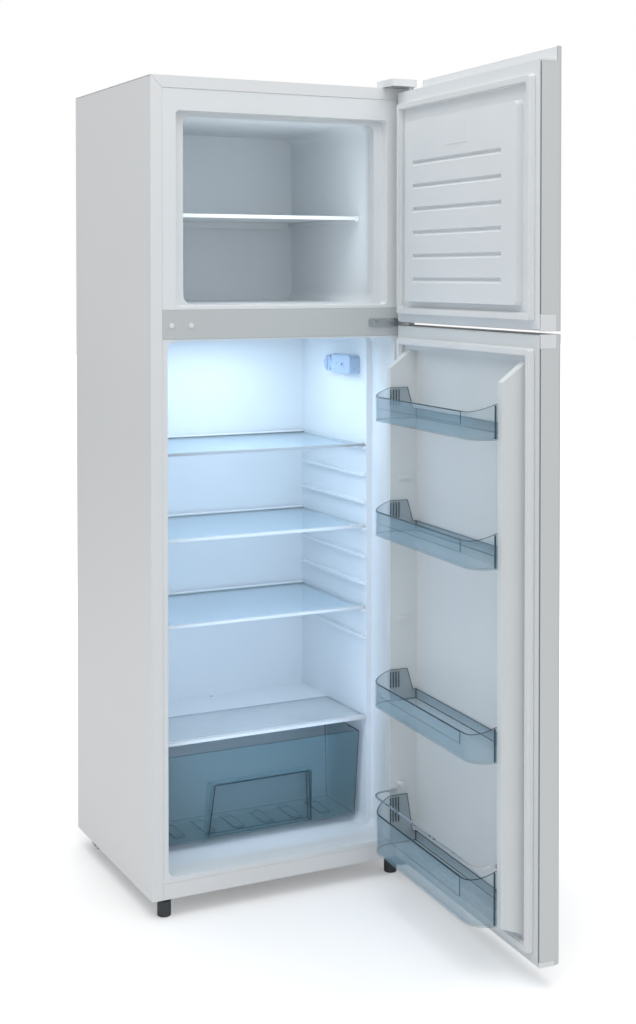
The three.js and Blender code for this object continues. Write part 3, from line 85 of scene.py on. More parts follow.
def faded(colour: Colour, share: float) -> Colour:
    """Returns a colour darkened to a share of its strength."""
    return tuple(part * share for part in colour)


# ---------------------------------------------------------------- finishes


class Recipe:
    """A material's node tree with one Principled shader, and short calls that add detail to it."""

    def __init__(self, name: str) -> None:
        """Starts a new material.

        Args:
            name: the material's name.
        """
        self.material = bpy.data.materials.new(name)
        self.material.use_nodes = True
        self.tree = self.material.node_tree
        self.shader = self.tree.nodes["Principled BSDF"]
        self.place = self.tree.nodes.new("ShaderNodeTexCoord").outputs["Object"]

    def value(self, **sockets: float | tuple[float, ...]) -> Recipe:
        """Sets constant values on the shader.

        Args:
            **sockets: socket names, with underscores for spaces, and their values.

        Returns:
            This recipe.
        """
        for name, amount in sockets.items():
            self.shader.inputs[name.replace("_", " ")].default_value = amount
        return self

    def node(self, kind: str, **inputs: object) -> bpy.types.Node:
        """Adds a node.

        Args:
            kind: the node's type.
            **inputs: input names, with underscores for spaces, and a value or a socket to link.

        Returns:
            The new node.
        """
        made = self.tree.nodes.new(kind)
        for name, amount in inputs.items():
            socket = made.inputs[name.replace("_", " ")]
            if isinstance(amount, bpy.types.NodeSocket):
                self.tree.links.new(amount, socket)
            else:
                socket.default_value = amount
        return made

    def link(self, source: bpy.types.NodeSocket, socket: str) -> Recipe:
        """Lets a pattern drive one of the shader's inputs.

        Args:
            source: the pattern.
            socket: the input's name.

        Returns:
            This recipe.
        """
        self.tree.links.new(source, self.shader.inputs[socket])
        return self

    def noise(self, scale: float, detail: float = 3.0,
              stretch: Sequence[float] = (1, 1, 1)) -> bpy.types.NodeSocket:
        """Adds a noise pattern on the piece's own coordinates.

        Args:
            scale: features per metre.
            detail: how many finer layers the noise has.
            stretch: how much finer the pattern is along each axis.

        Returns:
            The pattern's value, about 0.5 on average.
        """
        mapping = self.node("ShaderNodeMapping", Vector=self.place, Scale=tuple(stretch))
        pattern = self.node("ShaderNodeTexNoise", Vector=mapping.outputs[0], Scale=scale, Detail=detail)
        return pattern.outputs["Fac"]

    def remap(self, source: bpy.types.NodeSocket, low: float, high: float) -> bpy.types.NodeSocket:
        """Stretches a pattern's middle range between two values.

        Args:
            source: the pattern.
            low: value at the low end of the middle range.
            high: value at its high end.

        Returns:
            The stretched value.
        """
        node = self.tree.nodes.new("ShaderNodeMapRange")
        self.tree.links.new(source, node.inputs["Value"])
        for name, amount in zip(("From Min", "From Max", "To Min", "To Max"), (*MIDDLE_RANGE, low, high)):
            node.inputs[name].default_value = amount
        return node.outputs[0]

    def colours(self, source: bpy.types.NodeSocket, first: Colour, second: Colour) -> Recipe:
        """Lets a pattern move the base colour between two colours.

        Args:
            source: the pattern.
            first: colour where the pattern is low.
            second: colour where the pattern is high.

        Returns:
            This recipe.
        """
        ramp = self.tree.nodes.new("ShaderNodeValToRGB")
        for stop, position, colour in zip(ramp.color_ramp.elements, MIDDLE_RANGE, (first, second)):
            stop.position = position
            stop.color = (*colour, 1)
        self.tree.links.new(source, ramp.inputs[0])
        return self.link(ramp.outputs[0], "Base Color")

    def roughness(self, source: bpy.types.NodeSocket, low: float, high: float) -> Recipe:
        """Lets a pattern move the roughness.

        Args:
            source: the pattern.
            low: roughness where the pattern is low.
            high: roughness where the pattern is high.

        Returns:
            This recipe.
        """
        return self.link(self.remap(source, low, high), "Roughness")

    def cover(self, source: bpy.types.NodeSocket, low: float, high: float) -> Recipe:
        """Lets a value between 0 and 1 move how much the surface covers what is behind it.

        Args:
            source: the value.
            low: cover where the value is 0.
            high: cover where the value is 1.

        Returns:
            This recipe.
        """
        span = self.node("ShaderNodeMapRange", Value=source)
        span.inputs["To Min"].default_value = low
        span.inputs["To Max"].default_value = high
        return self.link(span.outputs[0], "Alpha")

    def relief(self, source: bpy.types.NodeSocket, depth: float, strength: float = 1.0) -> Recipe:
        """Turns a pattern into surface relief.

        Args:
            source: the pattern, as a height.
            depth: height of the relief in metres.
            strength: how strongly it shows.

        Returns:
            This recipe.
        """
        bump = self.node("ShaderNodeBump", Height=source, Distance=depth, Strength=strength)
        return self.link(bump.outputs[0], "Normal")


@dataclass(frozen=True)
class Enamel:
    """Baked paint on sheet steel, with a faint orange peel."""

    name: str
    colour: Colour
    gloss: float = 0.32
    peel: float = 320.0
    cloud: float = 3.0
    haze: float = 14.0
    fade: float = 0.985

    def material(self) -> bpy.types.Material:
        """Makes the paint's material.

        Returns:
            The material.
        """
        recipe = Recipe(self.name)
        recipe.colours(recipe.noise(self.cloud, 2.0), faded(self.colour, self.fade), self.colour)
        recipe.roughness(recipe.noise(self.haze), self.gloss - 0.02, self.gloss + 0.02)
        recipe.relief(recipe.noise(self.peel, 1.0), 0.03 * MM, 0.25)
        return recipe.value(Coat_Weight=0.25, Coat_Roughness=0.12).material


@dataclass(frozen=True)
class Moulded:
    """Opaque plastic, vacuum formed or moulded."""

    name: str
    colour: Colour
    gloss: float = 0.4
    grain: float = 900.0
    depth: float = 0.02
    subsurface: float = 0.0
    cloud: float = 6.0
    haze: float = 60.0
    fade: float = 0.97

    def material(self) -> bpy.types.Material:
        """Makes the plastic's material.

        Returns:
            The material.
        """
        recipe = Recipe(self.name)
        recipe.colours(recipe.noise(self.cloud, 2.0), faded(self.colour, self.fade), self.colour)
        recipe.roughness(recipe.noise(self.haze), self.gloss - 0.05, self.gloss + 0.06)
        recipe.relief(recipe.noise(self.grain, 2.0), self.depth * MM, 0.3)
        recipe.value(Subsurface_Weight=self.subsurface, Subsurface_Radius=(0.004, 0.003, 0.003))
        return recipe.material


@dataclass(frozen=True)
class Clear:
    """See-through plastic or glass: thin where it faces the eye, denser at a slant."""

    name: str
    colour: Colour
    facing: float
    slanting: float
    gloss: float = 0.08
    ripple: float = 14.0
    cloud: float = 9.0
    haze: float = 25.0
    fade: float = 0.9

    def material(self) -> bpy.types.Material:
        """Makes the clear material.

        Returns:
            The material.
        """
        recipe = Recipe(self.name)
        slant = recipe.node("ShaderNodeLayerWeight", Blend=0.3).outputs["Facing"]
        recipe.cover(slant, self.facing, self.slanting)
        recipe.colours(recipe.noise(self.cloud, 2.0), faded(self.colour, self.fade), self.colour)
        recipe.roughness(recipe.noise(self.haze), self.gloss * 0.7, self.gloss * 1.5)
        recipe.relief(recipe.noise(self.ripple, 1.0), 0.05 * MM, 0.2)
        return recipe.value(IOR=1.46).material


@dataclass(frozen=True)
class Metal:
    """Bare or plated metal."""

    name: str
    colour: Colour
    gloss: float = 0.35
    mottle: float = 60.0
    stretch: tuple[float, float, float] = (1, 1, 1)
    metallic: float = 1.0
    fade: float = 0.86

    def material(self) -> bpy.types.Material:
        """Makes the metal's material.

        Returns:
            The material.
        """
        recipe = Recipe(self.name)
        pattern = recipe.noise(self.mottle, 4.0, self.stretch)
        recipe.colours(pattern, faded(self.colour, self.fade), self.colour)
        recipe.roughness(pattern, self.gloss - 0.08, self.gloss + 0.1)
        recipe.relief(recipe.noise(self.mottle * 8, 2.0, self.stretch), 0.02 * MM, 0.4)
        return recipe.value(Metallic=self.metallic).material


@dataclass(frozen=True)
class Spangled:
    """Galvanised sheet with zinc crystals."""

    name: str
    colour: Colour
    crystal: float = 90.0
    fade: float = 0.75

    def material(self) -> bpy.types.Material:
        """Makes the galvanised material.

        Returns:
            The material.
        """
        recipe = Recipe(self.name)
        cells = recipe.node("ShaderNodeTexVoronoi", Vector=recipe.place, Scale=self.crystal)
        grey = recipe.node("ShaderNodeRGBToBW", Color=cells.outputs["Color"]).outputs[0]
        recipe.colours(grey, faded(self.colour, self.fade), self.colour)
        recipe.roughness(grey, 0.32, 0.5)
        return recipe.value(Metallic=0.9).material


@dataclass(frozen=True)
class Foamed:
    """Rigid insulation foam."""

    name: str
    colour: Colour
    cell: float = 500.0
    cloud: float = 30.0
    fade: float = 0.8

    def material(self) -> bpy.types.Material:
        """Makes the foam's material.

        Returns:
            The material.
        """
        recipe = Recipe(self.name)
        cells = recipe.node("ShaderNodeTexVoronoi", Vector=recipe.place, Scale=self.cell)
        recipe.colours(recipe.noise(self.cloud), faded(self.colour, self.fade), self.colour)
        recipe.relief(cells.outputs["Distance"], 0.3 * MM, 0.6)
        return recipe.value(Roughness=0.85).material


Finish = Enamel | Moulded | Clear | Metal | Spangled | Foamed


class Slot(Enum):
    """Material slots of the record that the pieces take their finish from."""

    PAINT = "white_paint"
    WHITE_PLASTIC = "white_plastic"
    LINER = "liner_plastic"
    CLEAR = "clear_plastic"
    GLASS = "shelf_glass"
    FOAM = "foam"
    ZINC = "zinc"
    GALVANISED = "galvanised"
    BLACK_STEEL = "black_steel"
    BLACK_PLASTIC = "black_plastic"
    GREY_PLASTIC = "grey_plastic"
    COPPER = "copper"
    ALUMINIUM = "aluminium"
    SEAL = "seal"


FINISHES = {
    Slot.PAINT: Enamel("white_enamel", (0.80, 0.81, 0.82)),
    Slot.WHITE_PLASTIC: Moulded("white_moulding", (0.80, 0.82, 0.83), 0.34),
    Slot.LINER: Moulded("formed_liner", (0.80, 0.83, 0.85), 0.42, subsurface=0.05),
    Slot.CLEAR: Clear("clear_bin_plastic", (0.28, 0.44, 0.54), 0.12, 0.5),
    Slot.GLASS: Clear("shelf_glass", (0.50, 0.68, 0.80), 0.09, 0.5, 0.04, 4.0),
    Slot.FOAM: Foamed("insulation", (0.72, 0.60, 0.32)),
    Slot.ZINC: Metal("zinc_plate", (0.62, 0.64, 0.66), 0.3, 45.0),
    Slot.GALVANISED: Spangled("galvanised_sheet", (0.55, 0.57, 0.58)),
    Slot.BLACK_STEEL: Enamel("black_enamel", (0.012, 0.012, 0.014), 0.38, 500.0),
    Slot.BLACK_PLASTIC: Moulded("black_moulding", (0.016, 0.016, 0.018), 0.5, 1400.0, 0.05),
    Slot.GREY_PLASTIC: Moulded("grey_moulding", (0.05, 0.055, 0.06), 0.55, 1200.0, 0.05),
    Slot.COPPER: Metal("copper_tube", (0.78, 0.38, 0.20), 0.28, 70.0),
    Slot.ALUMINIUM: Metal("rolled_aluminium", (0.80, 0.81, 0.82), 0.35, 30.0, (1, 1, 12)),
    Slot.SEAL: Moulded("soft_seal", (0.78, 0.80, 0.81), 0.6, 500.0, 0.04, 0.1),
}

BAR_ENAMEL = Enamel("crossbar_enamel", (0.56, 0.59, 0.60), 0.36)
# Painted shade: the doors' white enamel darkened to the shade that the door skins stand in.
SHADED_DOOR_ENAMEL = Enamel("door_enamel_painted_shade", (0.645, 0.665, 0.67))
# Painted shadow: dark grey for the shadow line between each door's skin and its liner.
SHADOW_LINE_ENAMEL = Enamel("painted_shadow_line_enamel", (0.22, 0.23, 0.235), 0.5)
# Painted shade: the liner plastic darkened for the lower fridge door, which gets less light.
SHADED_DOOR_LINER = Moulded("door_liner", (0.715, 0.745, 0.755), 0.42, subsurface=0.05)
# Painted shade: the thermostat's white plastic in the blue-grey of its shaded, backlit side.
SHADED_DIAL_MOULDING = Moulded("dial_painted_shade", (0.42, 0.53, 0.68), 0.3)
# Painted highlight: white plastic made lighter and glossier so the shelves' rear lips read bright.
HIGHLIGHT_LIP_MOULDING = Moulded("lip_painted_highlight", (0.93, 0.94, 0.95), 0.2)
FRAME_MOULDING = Moulded("shelf_trim", (0.64, 0.65, 0.65), 0.35)
SHADED_MOULDING = Moulded("shaded_trim", (0.38, 0.40, 0.41), 0.4)
DRAWER_PLASTIC = Clear("drawer_plastic", (0.21, 0.345, 0.385), 0.17, 0.46)
COVER_GLASS = Clear("cover_glass", (0.74, 0.79, 0.82), 0.42, 0.7, 0.05, 4.0)
EDGE_FINISHES = {
    Slot.CLEAR: Clear("clear_plastic_edge", (0.008, 0.028, 0.04), 0.86, 1.0, 0.1),
    Slot.GLASS: Clear("glass_edge", (0.05, 0.12, 0.15), 0.7, 0.95, 0.1),
}


class Paintbox:
    """Makes each finish once and gives it to pieces."""

    def __init__(self, record: dict) -> None:
        """Reads which slot each CAD node has.

        Args:
            record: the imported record.
        """
        self.made: dict[Slot, bpy.types.Material] = {}
        self.edges: dict[Slot, bpy.types.Material] = {}
        self.special: dict[str, bpy.types.Material] = {}
        self.slot_of = {entry["node"]: Slot(entry["material_slot"]) for entry in record["subparts"]}

    def material(self, slot: Slot) -> bpy.types.Material:
        """Gives a slot's material, made at its first use.

        Args:
            slot: the record's slot.

        Returns:
            The material.
        """
        if slot not in self.made:
            self.made[slot] = FINISHES[slot].material()
        return self.made[slot]

    def repaint(self, piece: bpy.types.Object, finish: Finish, index: int = 0) -> bpy.types.Object:
        """Gives a dressed piece another finish in one of its material places, made at its first use.

        Args:
            piece: the piece.
            finish: the finish.
            index: the place. The next free one adds the finish.

        Returns:
            The piece.
        """
        if finish.name not in self.special:
            self.special[finish.name] = finish.material()
        if index == len(piece.data.materials):
            piece.data.materials.append(None)
        piece.data.materials[index] = self.special[finish.name]
        return piece

    def edge(self, slot: Slot) -> bpy.types.Material:
        """Gives the finish of a see-through slot's cut edges, made at its first use.

        Args:
            slot: the record's slot.

        Returns:
            The material.
        """
        if slot not in self.edges:
            self.edges[slot] = EDGE_FINISHES[slot].material()
        return self.edges[slot]

    def line_edges(self, piece: bpy.types.Object, slot: Slot, width: float) -> bpy.types.Object:
        """Gives the narrow faces along a see-through piece's edges their darker finish.

        Args:
            piece: the piece, dressed already.
            slot: its slot.
            width: faces narrower than this many metres are edges.

        Returns:
            The piece.
        """
        piece.data.materials.append(self.edge(slot))
        points = piece.data.vertices
        for face in piece.data.polygons:
            corners = [points[index].co for index in face.vertices]
            girth = sum((a - b).length for a, b in zip(corners, corners[1:] + corners[:1]))
            face.material_index = int(2 * face.area < width * girth)
        return piece

    def dress(self, piece: bpy.types.Object, slot: Slot) -> bpy.types.Object:
        """Gives a piece a slot's finish all over.

        Args:
            piece: the piece.
            slot: the record's slot.

        Returns:
            The piece.
        """
        piece.data.materials.clear()
        piece.data.materials.append(self.material(slot))
        "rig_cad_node" not in piece
        return piece


# ---------------------------------------------------------------- workbench


class Bench:
    """Short calls on Blender's modelling operators."""

    @staticmethod
    def clear() -> None:
        """Leaves edit mode and deselects everything."""
        if bpy.context.object and bpy.context.object.mode != "OBJECT":
            bpy.ops.object.mode_set(mode="OBJECT")
        bpy.ops.object.select_all(action="DESELECT")

    @staticmethod
    def pick(piece: bpy.types.Object) -> bpy.types.Object:
        """Makes one piece the only selected one, and active.

        Args:
            piece: the piece.

        Returns:
            The piece.
        """
        Bench.clear()
        piece.select_set(True)
        bpy.context.view_layer.objects.active = piece
        return piece

    @staticmethod
    def named(name: str) -> bpy.types.Object:
        """Names the active object and its mesh, and puts its place into its mesh.

        Args:
            name: the piece's name.

        Returns:
            The piece.
        """
        piece = bpy.context.object
        piece.name = name
        piece.data.name = name
        bpy.ops.object.transform_apply(location=True, rotation=True, scale=True)
        return piece

    @staticmethod
    def copy(node: str, name: str, whole_faces: bool = True) -> bpy.types.Object:
        """Copies a CAD node as a new piece, with its loose triangles merged.

        Args:
            node: the CAD node.
            name: the new piece's name.
            whole_faces: also joins the triangles of each flat face. A face with a hole stays in triangles.

        Returns:
            The new piece.
        """
        source = bpy.data.objects[node]
        piece = bpy.data.objects.new(name, source.data.copy())
        piece.data.name = name
        bpy.context.scene.collection.objects.link(piece)
        Bench.pick(piece)
        bpy.ops.object.mode_set(mode="EDIT")
        bpy.ops.mesh.select_all(action="SELECT")
        bpy.ops.mesh.remove_doubles(threshold=0.01 * MM)
        if whole_faces:
            bpy.ops.mesh.dissolve_limited(angle_limit=math.radians(0.4))
        bpy.ops.object.mode_set(mode="OBJECT")
        if piece.data.has_custom_normals:
            bpy.ops.mesh.customdata_custom_splitnormals_clear()
        return piece

    @staticmethod
    def soften(piece: bpy.types.Object, width: float, segments: int = 2,
               angle: float = 40.0) -> bpy.types.Object:
        """Rounds a piece's sharp edges and smooths its curves.

        Args:
            piece: the piece.
            width: width of the rounding in metres.
            segments: how many faces the rounding has.
            angle: edges sharper than this many degrees are rounded.

        Returns:
            The piece.
        """
        Bench.pick(piece)
        bevel = piece.modifiers.new("soft_edges", "BEVEL")
        bevel.width = width
        bevel.segments = segments
        bevel.limit_method = "ANGLE"
        bevel.angle_limit = math.radians(angle)
        bevel.miter_outer = "MITER_ARC"
        bpy.ops.object.modifier_apply(modifier=bevel.name)
        return Bench.smooth(piece, angle)

    @staticmethod
    def smooth(piece: bpy.types.Object, angle: float = 35.0) -> bpy.types.Object:
        """Shades a piece smooth, except over edges sharper than the angle.

        Args:
            piece: the piece.
            angle: the limit in degrees.

        Returns:
            The piece.
        """
        Bench.pick(piece)
        bpy.ops.object.shade_smooth_by_angle(angle=math.radians(angle))
        even = piece.modifiers.new("even_shading", "WEIGHTED_NORMAL")
        even.keep_sharp = True
        bpy.ops.object.modifier_apply(modifier=even.name)
        return piece

    @staticmethod
    def bar(name: str, at: Sequence[float], size: Sequence[float]) -> bpy.types.Object:
        """Adds a square bar.

        Args:
            name: the piece's name.
            at: its middle.
            size: its size along each axis.

        Returns:
            The bar.
        """
        Bench.clear()
        bpy.ops.mesh.primitive_cube_add(size=1, location=at)
        bpy.context.object.scale = size
        return Bench.named(name)

    @staticmethod
    def row(piece: bpy.types.Object, count: int, step: Sequence[float]) -> bpy.types.Object:
        """Repeats a piece in a row.

        Args:
            piece: the piece, active.
            count: how many there will be.
            step: the way from one to the next.

        Returns:
            The piece.
        """
        row = piece.modifiers.new("row", "ARRAY")
        row.count = count
        row.use_relative_offset = False
        row.use_constant_offset = True
        row.constant_offset_displace = step
        bpy.ops.object.modifier_apply(modifier=row.name)
        return piece

    @staticmethod
    def pipe(name: str, points: Sequence[Sequence[float]], radius: float) -> bpy.types.Object:
        """Bends a round tube smoothly through some points.

        Args:
            name: the piece's name.
            points: the points, in metres.
            radius: the tube's radius.

        Returns:
            The tube, as a mesh.
        """
        Bench.clear()
        bpy.ops.curve.primitive_nurbs_path_add()
        path = bpy.context.object
        path.data.splines.clear()
        spline = path.data.splines.new("NURBS")
        spline.points.add(len(points) - 1)
        for knot, place in zip(spline.points, points):
            knot.co = (*place, 1.0)
        spline.order_u = 3
        spline.use_endpoint_u = True
        path.data.bevel_depth = radius
        path.data.bevel_resolution = 4
        path.data.resolution_u = 10
        path.data.use_fill_caps = True
        bpy.ops.object.convert(target="MESH")
        return Bench.smooth(Bench.named(name), 60.0)


class Leaf:
    """A door's own frame, in which it hangs shut in front of the cabinet."""

    def __init__(self, record: dict, joint_name: str) -> None:
        """Reads the door's hinge.

        Args:
            record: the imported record.
            joint_name: the hinge's joint.
        """
        joint = next(j for j in record["behaviour"]["joints"] if j["name"] == joint_name)
        hinge = Matrix.Translation(Vector(joint["pos_m"]))
        turn = Matrix.Rotation(math.radians(-joint["range_deg"][0]), 4, "Z")
        self.opening = hinge @ turn @ hinge.inverted()

    def shut_box(self, node: str) -> tuple[Vector, Vector]:
        """Measures a CAD node with the door shut.

        Args:
            node: the CAD node.

        Returns:
            Its lowest and highest corners.
        """
        shut = self.opening.inverted()
        points = [shut @ vertex.co for vertex in bpy.data.objects[node].data.vertices]
        corners = [[most(point[axis] for point in points) for axis in range(3)] for most in (min, max)]
        return Vector(corners[0]), Vector(corners[1])

    def swing(self, piece: bpy.types.Object) -> bpy.types.Object:
        """Turns a piece that was made on the shut door to where the open door stands.

        Args:
            piece: the piece.

        Returns:
            The piece.
        """
        Bench.pick(piece)
        piece.matrix_world = self.opening @ piece.matrix_world
        bpy.ops.object.transform_apply(location=True, rotation=True, scale=True)
        return piece


@dataclass
class Assembly:
    """A group of pieces that are built and dressed together."""

    paint: Paintbox
    record: dict

    def stand_in(self, node: str, body: str, edge: float, segments: int = 2, whole_faces: bool = True,
                 ) -> bpy.types.Object:
        """Makes a piece with softened edges from a CAD node and shows it in that node's place.

        Args:
            node: the CAD node.
            body: the body it rides on.
            edge: width of its rounded edges in millimetres.
            segments: faces in each rounded edge.
            whole_faces: joins the triangles of each flat face first.

        Returns:
            The new piece.
        """
        piece = Bench.soften(Bench.copy(node, f"{node}_finished", whole_faces), edge * MM, segments)
        return self.place(piece, body, self.paint.slot_of[node], node)

    def see_through(self, node: str, body: str, edge: float, line: float) -> bpy.types.Object:
        """Makes a see-through piece from a CAD node, with darker edges.

        Args:
            node: the CAD node.
            body: the body it rides on.
            edge: width of its rounded edges in millimetres.
            line: widest face that counts as an edge, in millimetres.

        Returns:
            The new piece.
        """
        piece = self.stand_in(node, body, edge)
        return self.paint.line_edges(piece, self.paint.slot_of[node], line * MM)

    def place(self, piece: bpy.types.Object, body: str, slot: Slot, *nodes: str) -> bpy.types.Object:
        """Dresses a piece, hangs it on its body and hides the CAD nodes that it stands for.

        Args:
            piece: the piece.
            body: the body it rides on.
            slot: its finish.
            *nodes: the CAD nodes that it replaces.

        Returns:
            The piece.
        """
        self.paint.dress(piece, slot)
        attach(piece, body)
        if nodes:
            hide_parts(*nodes)
        LOG.info("%s rides on %s", piece.name, body)
        return piece

    def dark_line(self, piece: bpy.types.Object, body: str) -> bpy.types.Object:
        """Dresses a thin piece as the dark edge of clear plastic and hangs it on its body.

        Args:
            piece: the piece.
            body: the body it rides on.

        Returns:
            The piece.
        """
        self.place(piece, body, Slot.CLEAR)
        piece.data.materials[0] = self.paint.edge(Slot.CLEAR)
        return piece


@dataclass
class Cabinet(Assembly):
    """Steel shell, liners and what is fixed to them."""

    sheet_edge: float = 0.5
    formed_edge: float = 2.4
    cover_edge: float = 1.6
    small_edge: float = 0.3

    def build(self) -> None:
        """Builds the cabinet's pieces."""
        for node in ("left_side_panel", "right_side_panel", "top_panel"):
            self.stand_in(node, "cabinet", self.sheet_edge)
        for node in ("base_pan", "back_panel", "compressor_rail"):
            self.stand_in(node, "cabinet", self.sheet_edge, 2, False)
        self.paint.repaint(self.stand_in("centre_crossbar", "cabinet", self.sheet_edge, 2, False), BAR_ENAMEL)
        for node in ("freezer_liner", "fridge_liner"):
            self.stand_in(node, "cabinet", self.formed_edge, 3, False)
        for node in ("top_hinge", "middle_hinge", "bottom_hinge"):
            self.stand_in(node, "cabinet", self.sheet_edge, 2, False)
        # The white housing takes the blue-grey painted shade of its backlit side.
        dial = self.stand_in("thermostat_housing", "cabinet", self.sheet_edge, 2, False)
        self.paint.repaint(dial, SHADED_DIAL_MOULDING)
        self.stand_in("top_hinge_cover", "cabinet", self.cover_edge, 3, False)
        for kind in ("middle_hinge_screw", "hinge_hole_plug"):
            for number in (1, 2):
                self.stand_in(f"{kind}_{number}", "cabinet", self.small_edge)


@dataclass
class Doors(Assembly):
    """Both doors with their seals."""

    seal_edge: float = 2.2
    skin_edge: float = 0.5
    cap_edge: float = 0.6
    liner_edges: dict[str, float] = field(default_factory=lambda: {"freezer_door": 2.6, "fridge_door": 1.8})

    def build(self) -> None:
        """Builds the doors' pieces."""
        for body in ("freezer_door", "fridge_door"):
            skin = self.stand_in(f"{body}_skin", body, self.skin_edge, 2, False)
            # The skin takes the enamel darkened as painted shade, and its rear edge a painted shadow line.
            self.paint_shadow_line(self.paint.repaint(skin, SHADED_DOOR_ENAMEL), body)
            inner = self.stand_in(f"{body}_liner", body, self.liner_edges[body], 3, False)
            # The fridge door's liner takes the liner plastic darkened as painted shade.
            if body == "fridge_door":
                self.paint.repaint(inner, SHADED_DOOR_LINER)
            self.stand_in(f"{body}_gasket", body, self.seal_edge, 3, False)
            for cap in ("top_cap", "bottom_cap"):
                self.stand_in(f"{body}_{cap}", body, self.cap_edge, 2, False)

    def paint_shadow_line(self, skin: bpy.types.Object, body: str) -> None:
        """Paints the skin's folded rear edge dark grey as a painted shadow line round the liner.

        Args:
            skin: the finished skin.
            body: the door's body.
        """
        leaf = Leaf(self.record, f"{body}_swing")
        inward = leaf.opening.to_3x3() @ Vector((0, 1, 0))
        self.paint.repaint(skin, SHADOW_LINE_ENAMEL, 1)
        for face in skin.data.polygons:
            face.material_index = int(face.normal.dot(inward) > 0.9)


@dataclass
class DoorStorage(Assembly):
    """The fridge door's clear bins and its bottle rail. Sizes are in millimetres."""

    rim_line: float = 2.4
    band_radius: float = 0.7
    band_share: float = 0.45
    corner: float = 44.0
    front_heights: tuple[float, ...] = (76.0, 47.0, 47.0, 47.0)
    clip_ribs: int = 4
    clip_pitch: float = 6.0
    clip_size: tuple[float, float] = (3.0, 1.2)
    clip_behind: float = 40.0
    end_from_front: float = 42.0
    end_radius: float = 1.7
    clip_below: float = 4.0
    clip_line: float = 1.3
    wall: float = 2.4
    bin_edge: float = 0.7
    wire_edge: float = 0.3

    def build(self) -> None:
        """Builds the door's bins and rail."""
        leaf = Leaf(self.record, "fridge_door_swing")
        for number, front in enumerate(self.front_heights, 1):
            node, body = f"door_bin_{number}", f"bin_{number}"
            self.see_through(node, body, self.bin_edge, self.rim_line)
            low, high = leaf.shut_box(node)
            self.band(leaf, f"{node}_band", body, low, high, front * MM)
            self.clip(leaf, f"{node}_clip", body, low, high)
            self.end_line(leaf, f"{node}_end_line", body, low, high)
        self.stand_in("bottle_rail", "fridge_door", self.wire_edge)

    def band(self, leaf: Leaf, name: str, body: str, low: Vector, high: Vector, front: float) -> None:
        """Draws the raised line that runs under a bin's front rim and turns down before the free corner.

        Args:
            leaf: the door's frame.
            name: the piece's name.
            body: the bin's body.
            low: the bin's lowest corner, door shut.
            high: the bin's highest corner, door shut.
            front: height of the bin's front in metres.
        """
        rim = low.z + front - 0.5 * MM
        face = high.y - 0.2 * MM
        foot = rim - self.band_share * front
        start, end = high.x - self.corner * MM, low.x + (self.corner + 6) * MM
        line = Bench.pipe(name, [(start, face, rim), (end + 2 * MM, face, rim), (end, face, rim),
                                 (end, face, rim - 2 * MM), (end, face, foot)], self.band_radius * MM)
        self.dark_line(leaf.swing(line), body)
        lower = Bench.pipe(f"{name}_foot", [(start, face, foot), ((start + end) / 2, face, foot),
                                            (end, face, foot)], 0.5 * self.band_radius * MM)
        self.dark_line(leaf.swing(lower), body)

    def end_line(self, leaf: Leaf, name: str, body: str, low: Vector, high: Vector) -> None:
        """Draws the thick dark line down a bin's free end, beside the door's ridge.

        Args:
            leaf: the door's frame.
            name: the piece's name.
            body: the bin's body.
            low: the bin's lowest corner, door shut.
            high: the bin's highest corner, door shut.
        """
        radius = self.end_radius * MM
        side, depth = low.x + radius + 0.1 * MM, high.y - self.end_from_front * MM
        places = [(side, depth, height) for height in (low.z + 2 * MM, (low.z + high.z) / 2, high.z - 3 * MM)]
        self.dark_line(leaf.swing(Bench.pipe(name, places, radius)), body)

    def clip(self, leaf: Leaf, name: str, body: str, low: Vector, high: Vector) -> None:
        """Models the ribbed clip inside a bin's end on the hinge side.

        Args:
            leaf: the door's frame.
            name: the piece's name.
            body: the bin's body.
            low: the bin's lowest corner, door shut.
            high: the bin's highest corner, door shut.
        """
        deep, thick = (size * MM for size in self.clip_size)
        tall = 0.5 * (high.z - low.z)
        at = (high.x - self.wall * MM - deep / 2, low.y + self.clip_behind * MM,
              high.z - self.clip_below * MM - tall / 2)
        rib = Bench.bar(name, at, (deep, thick, tall))
        ribs = Bench.row(rib, self.clip_ribs, (0, self.clip_pitch * MM, 0))
        Bench.soften(ribs, self.wire_edge * MM)
        self.place(leaf.swing(ribs), body, Slot.CLEAR)
        self.paint.line_edges(ribs, Slot.CLEAR, self.clip_line * MM)


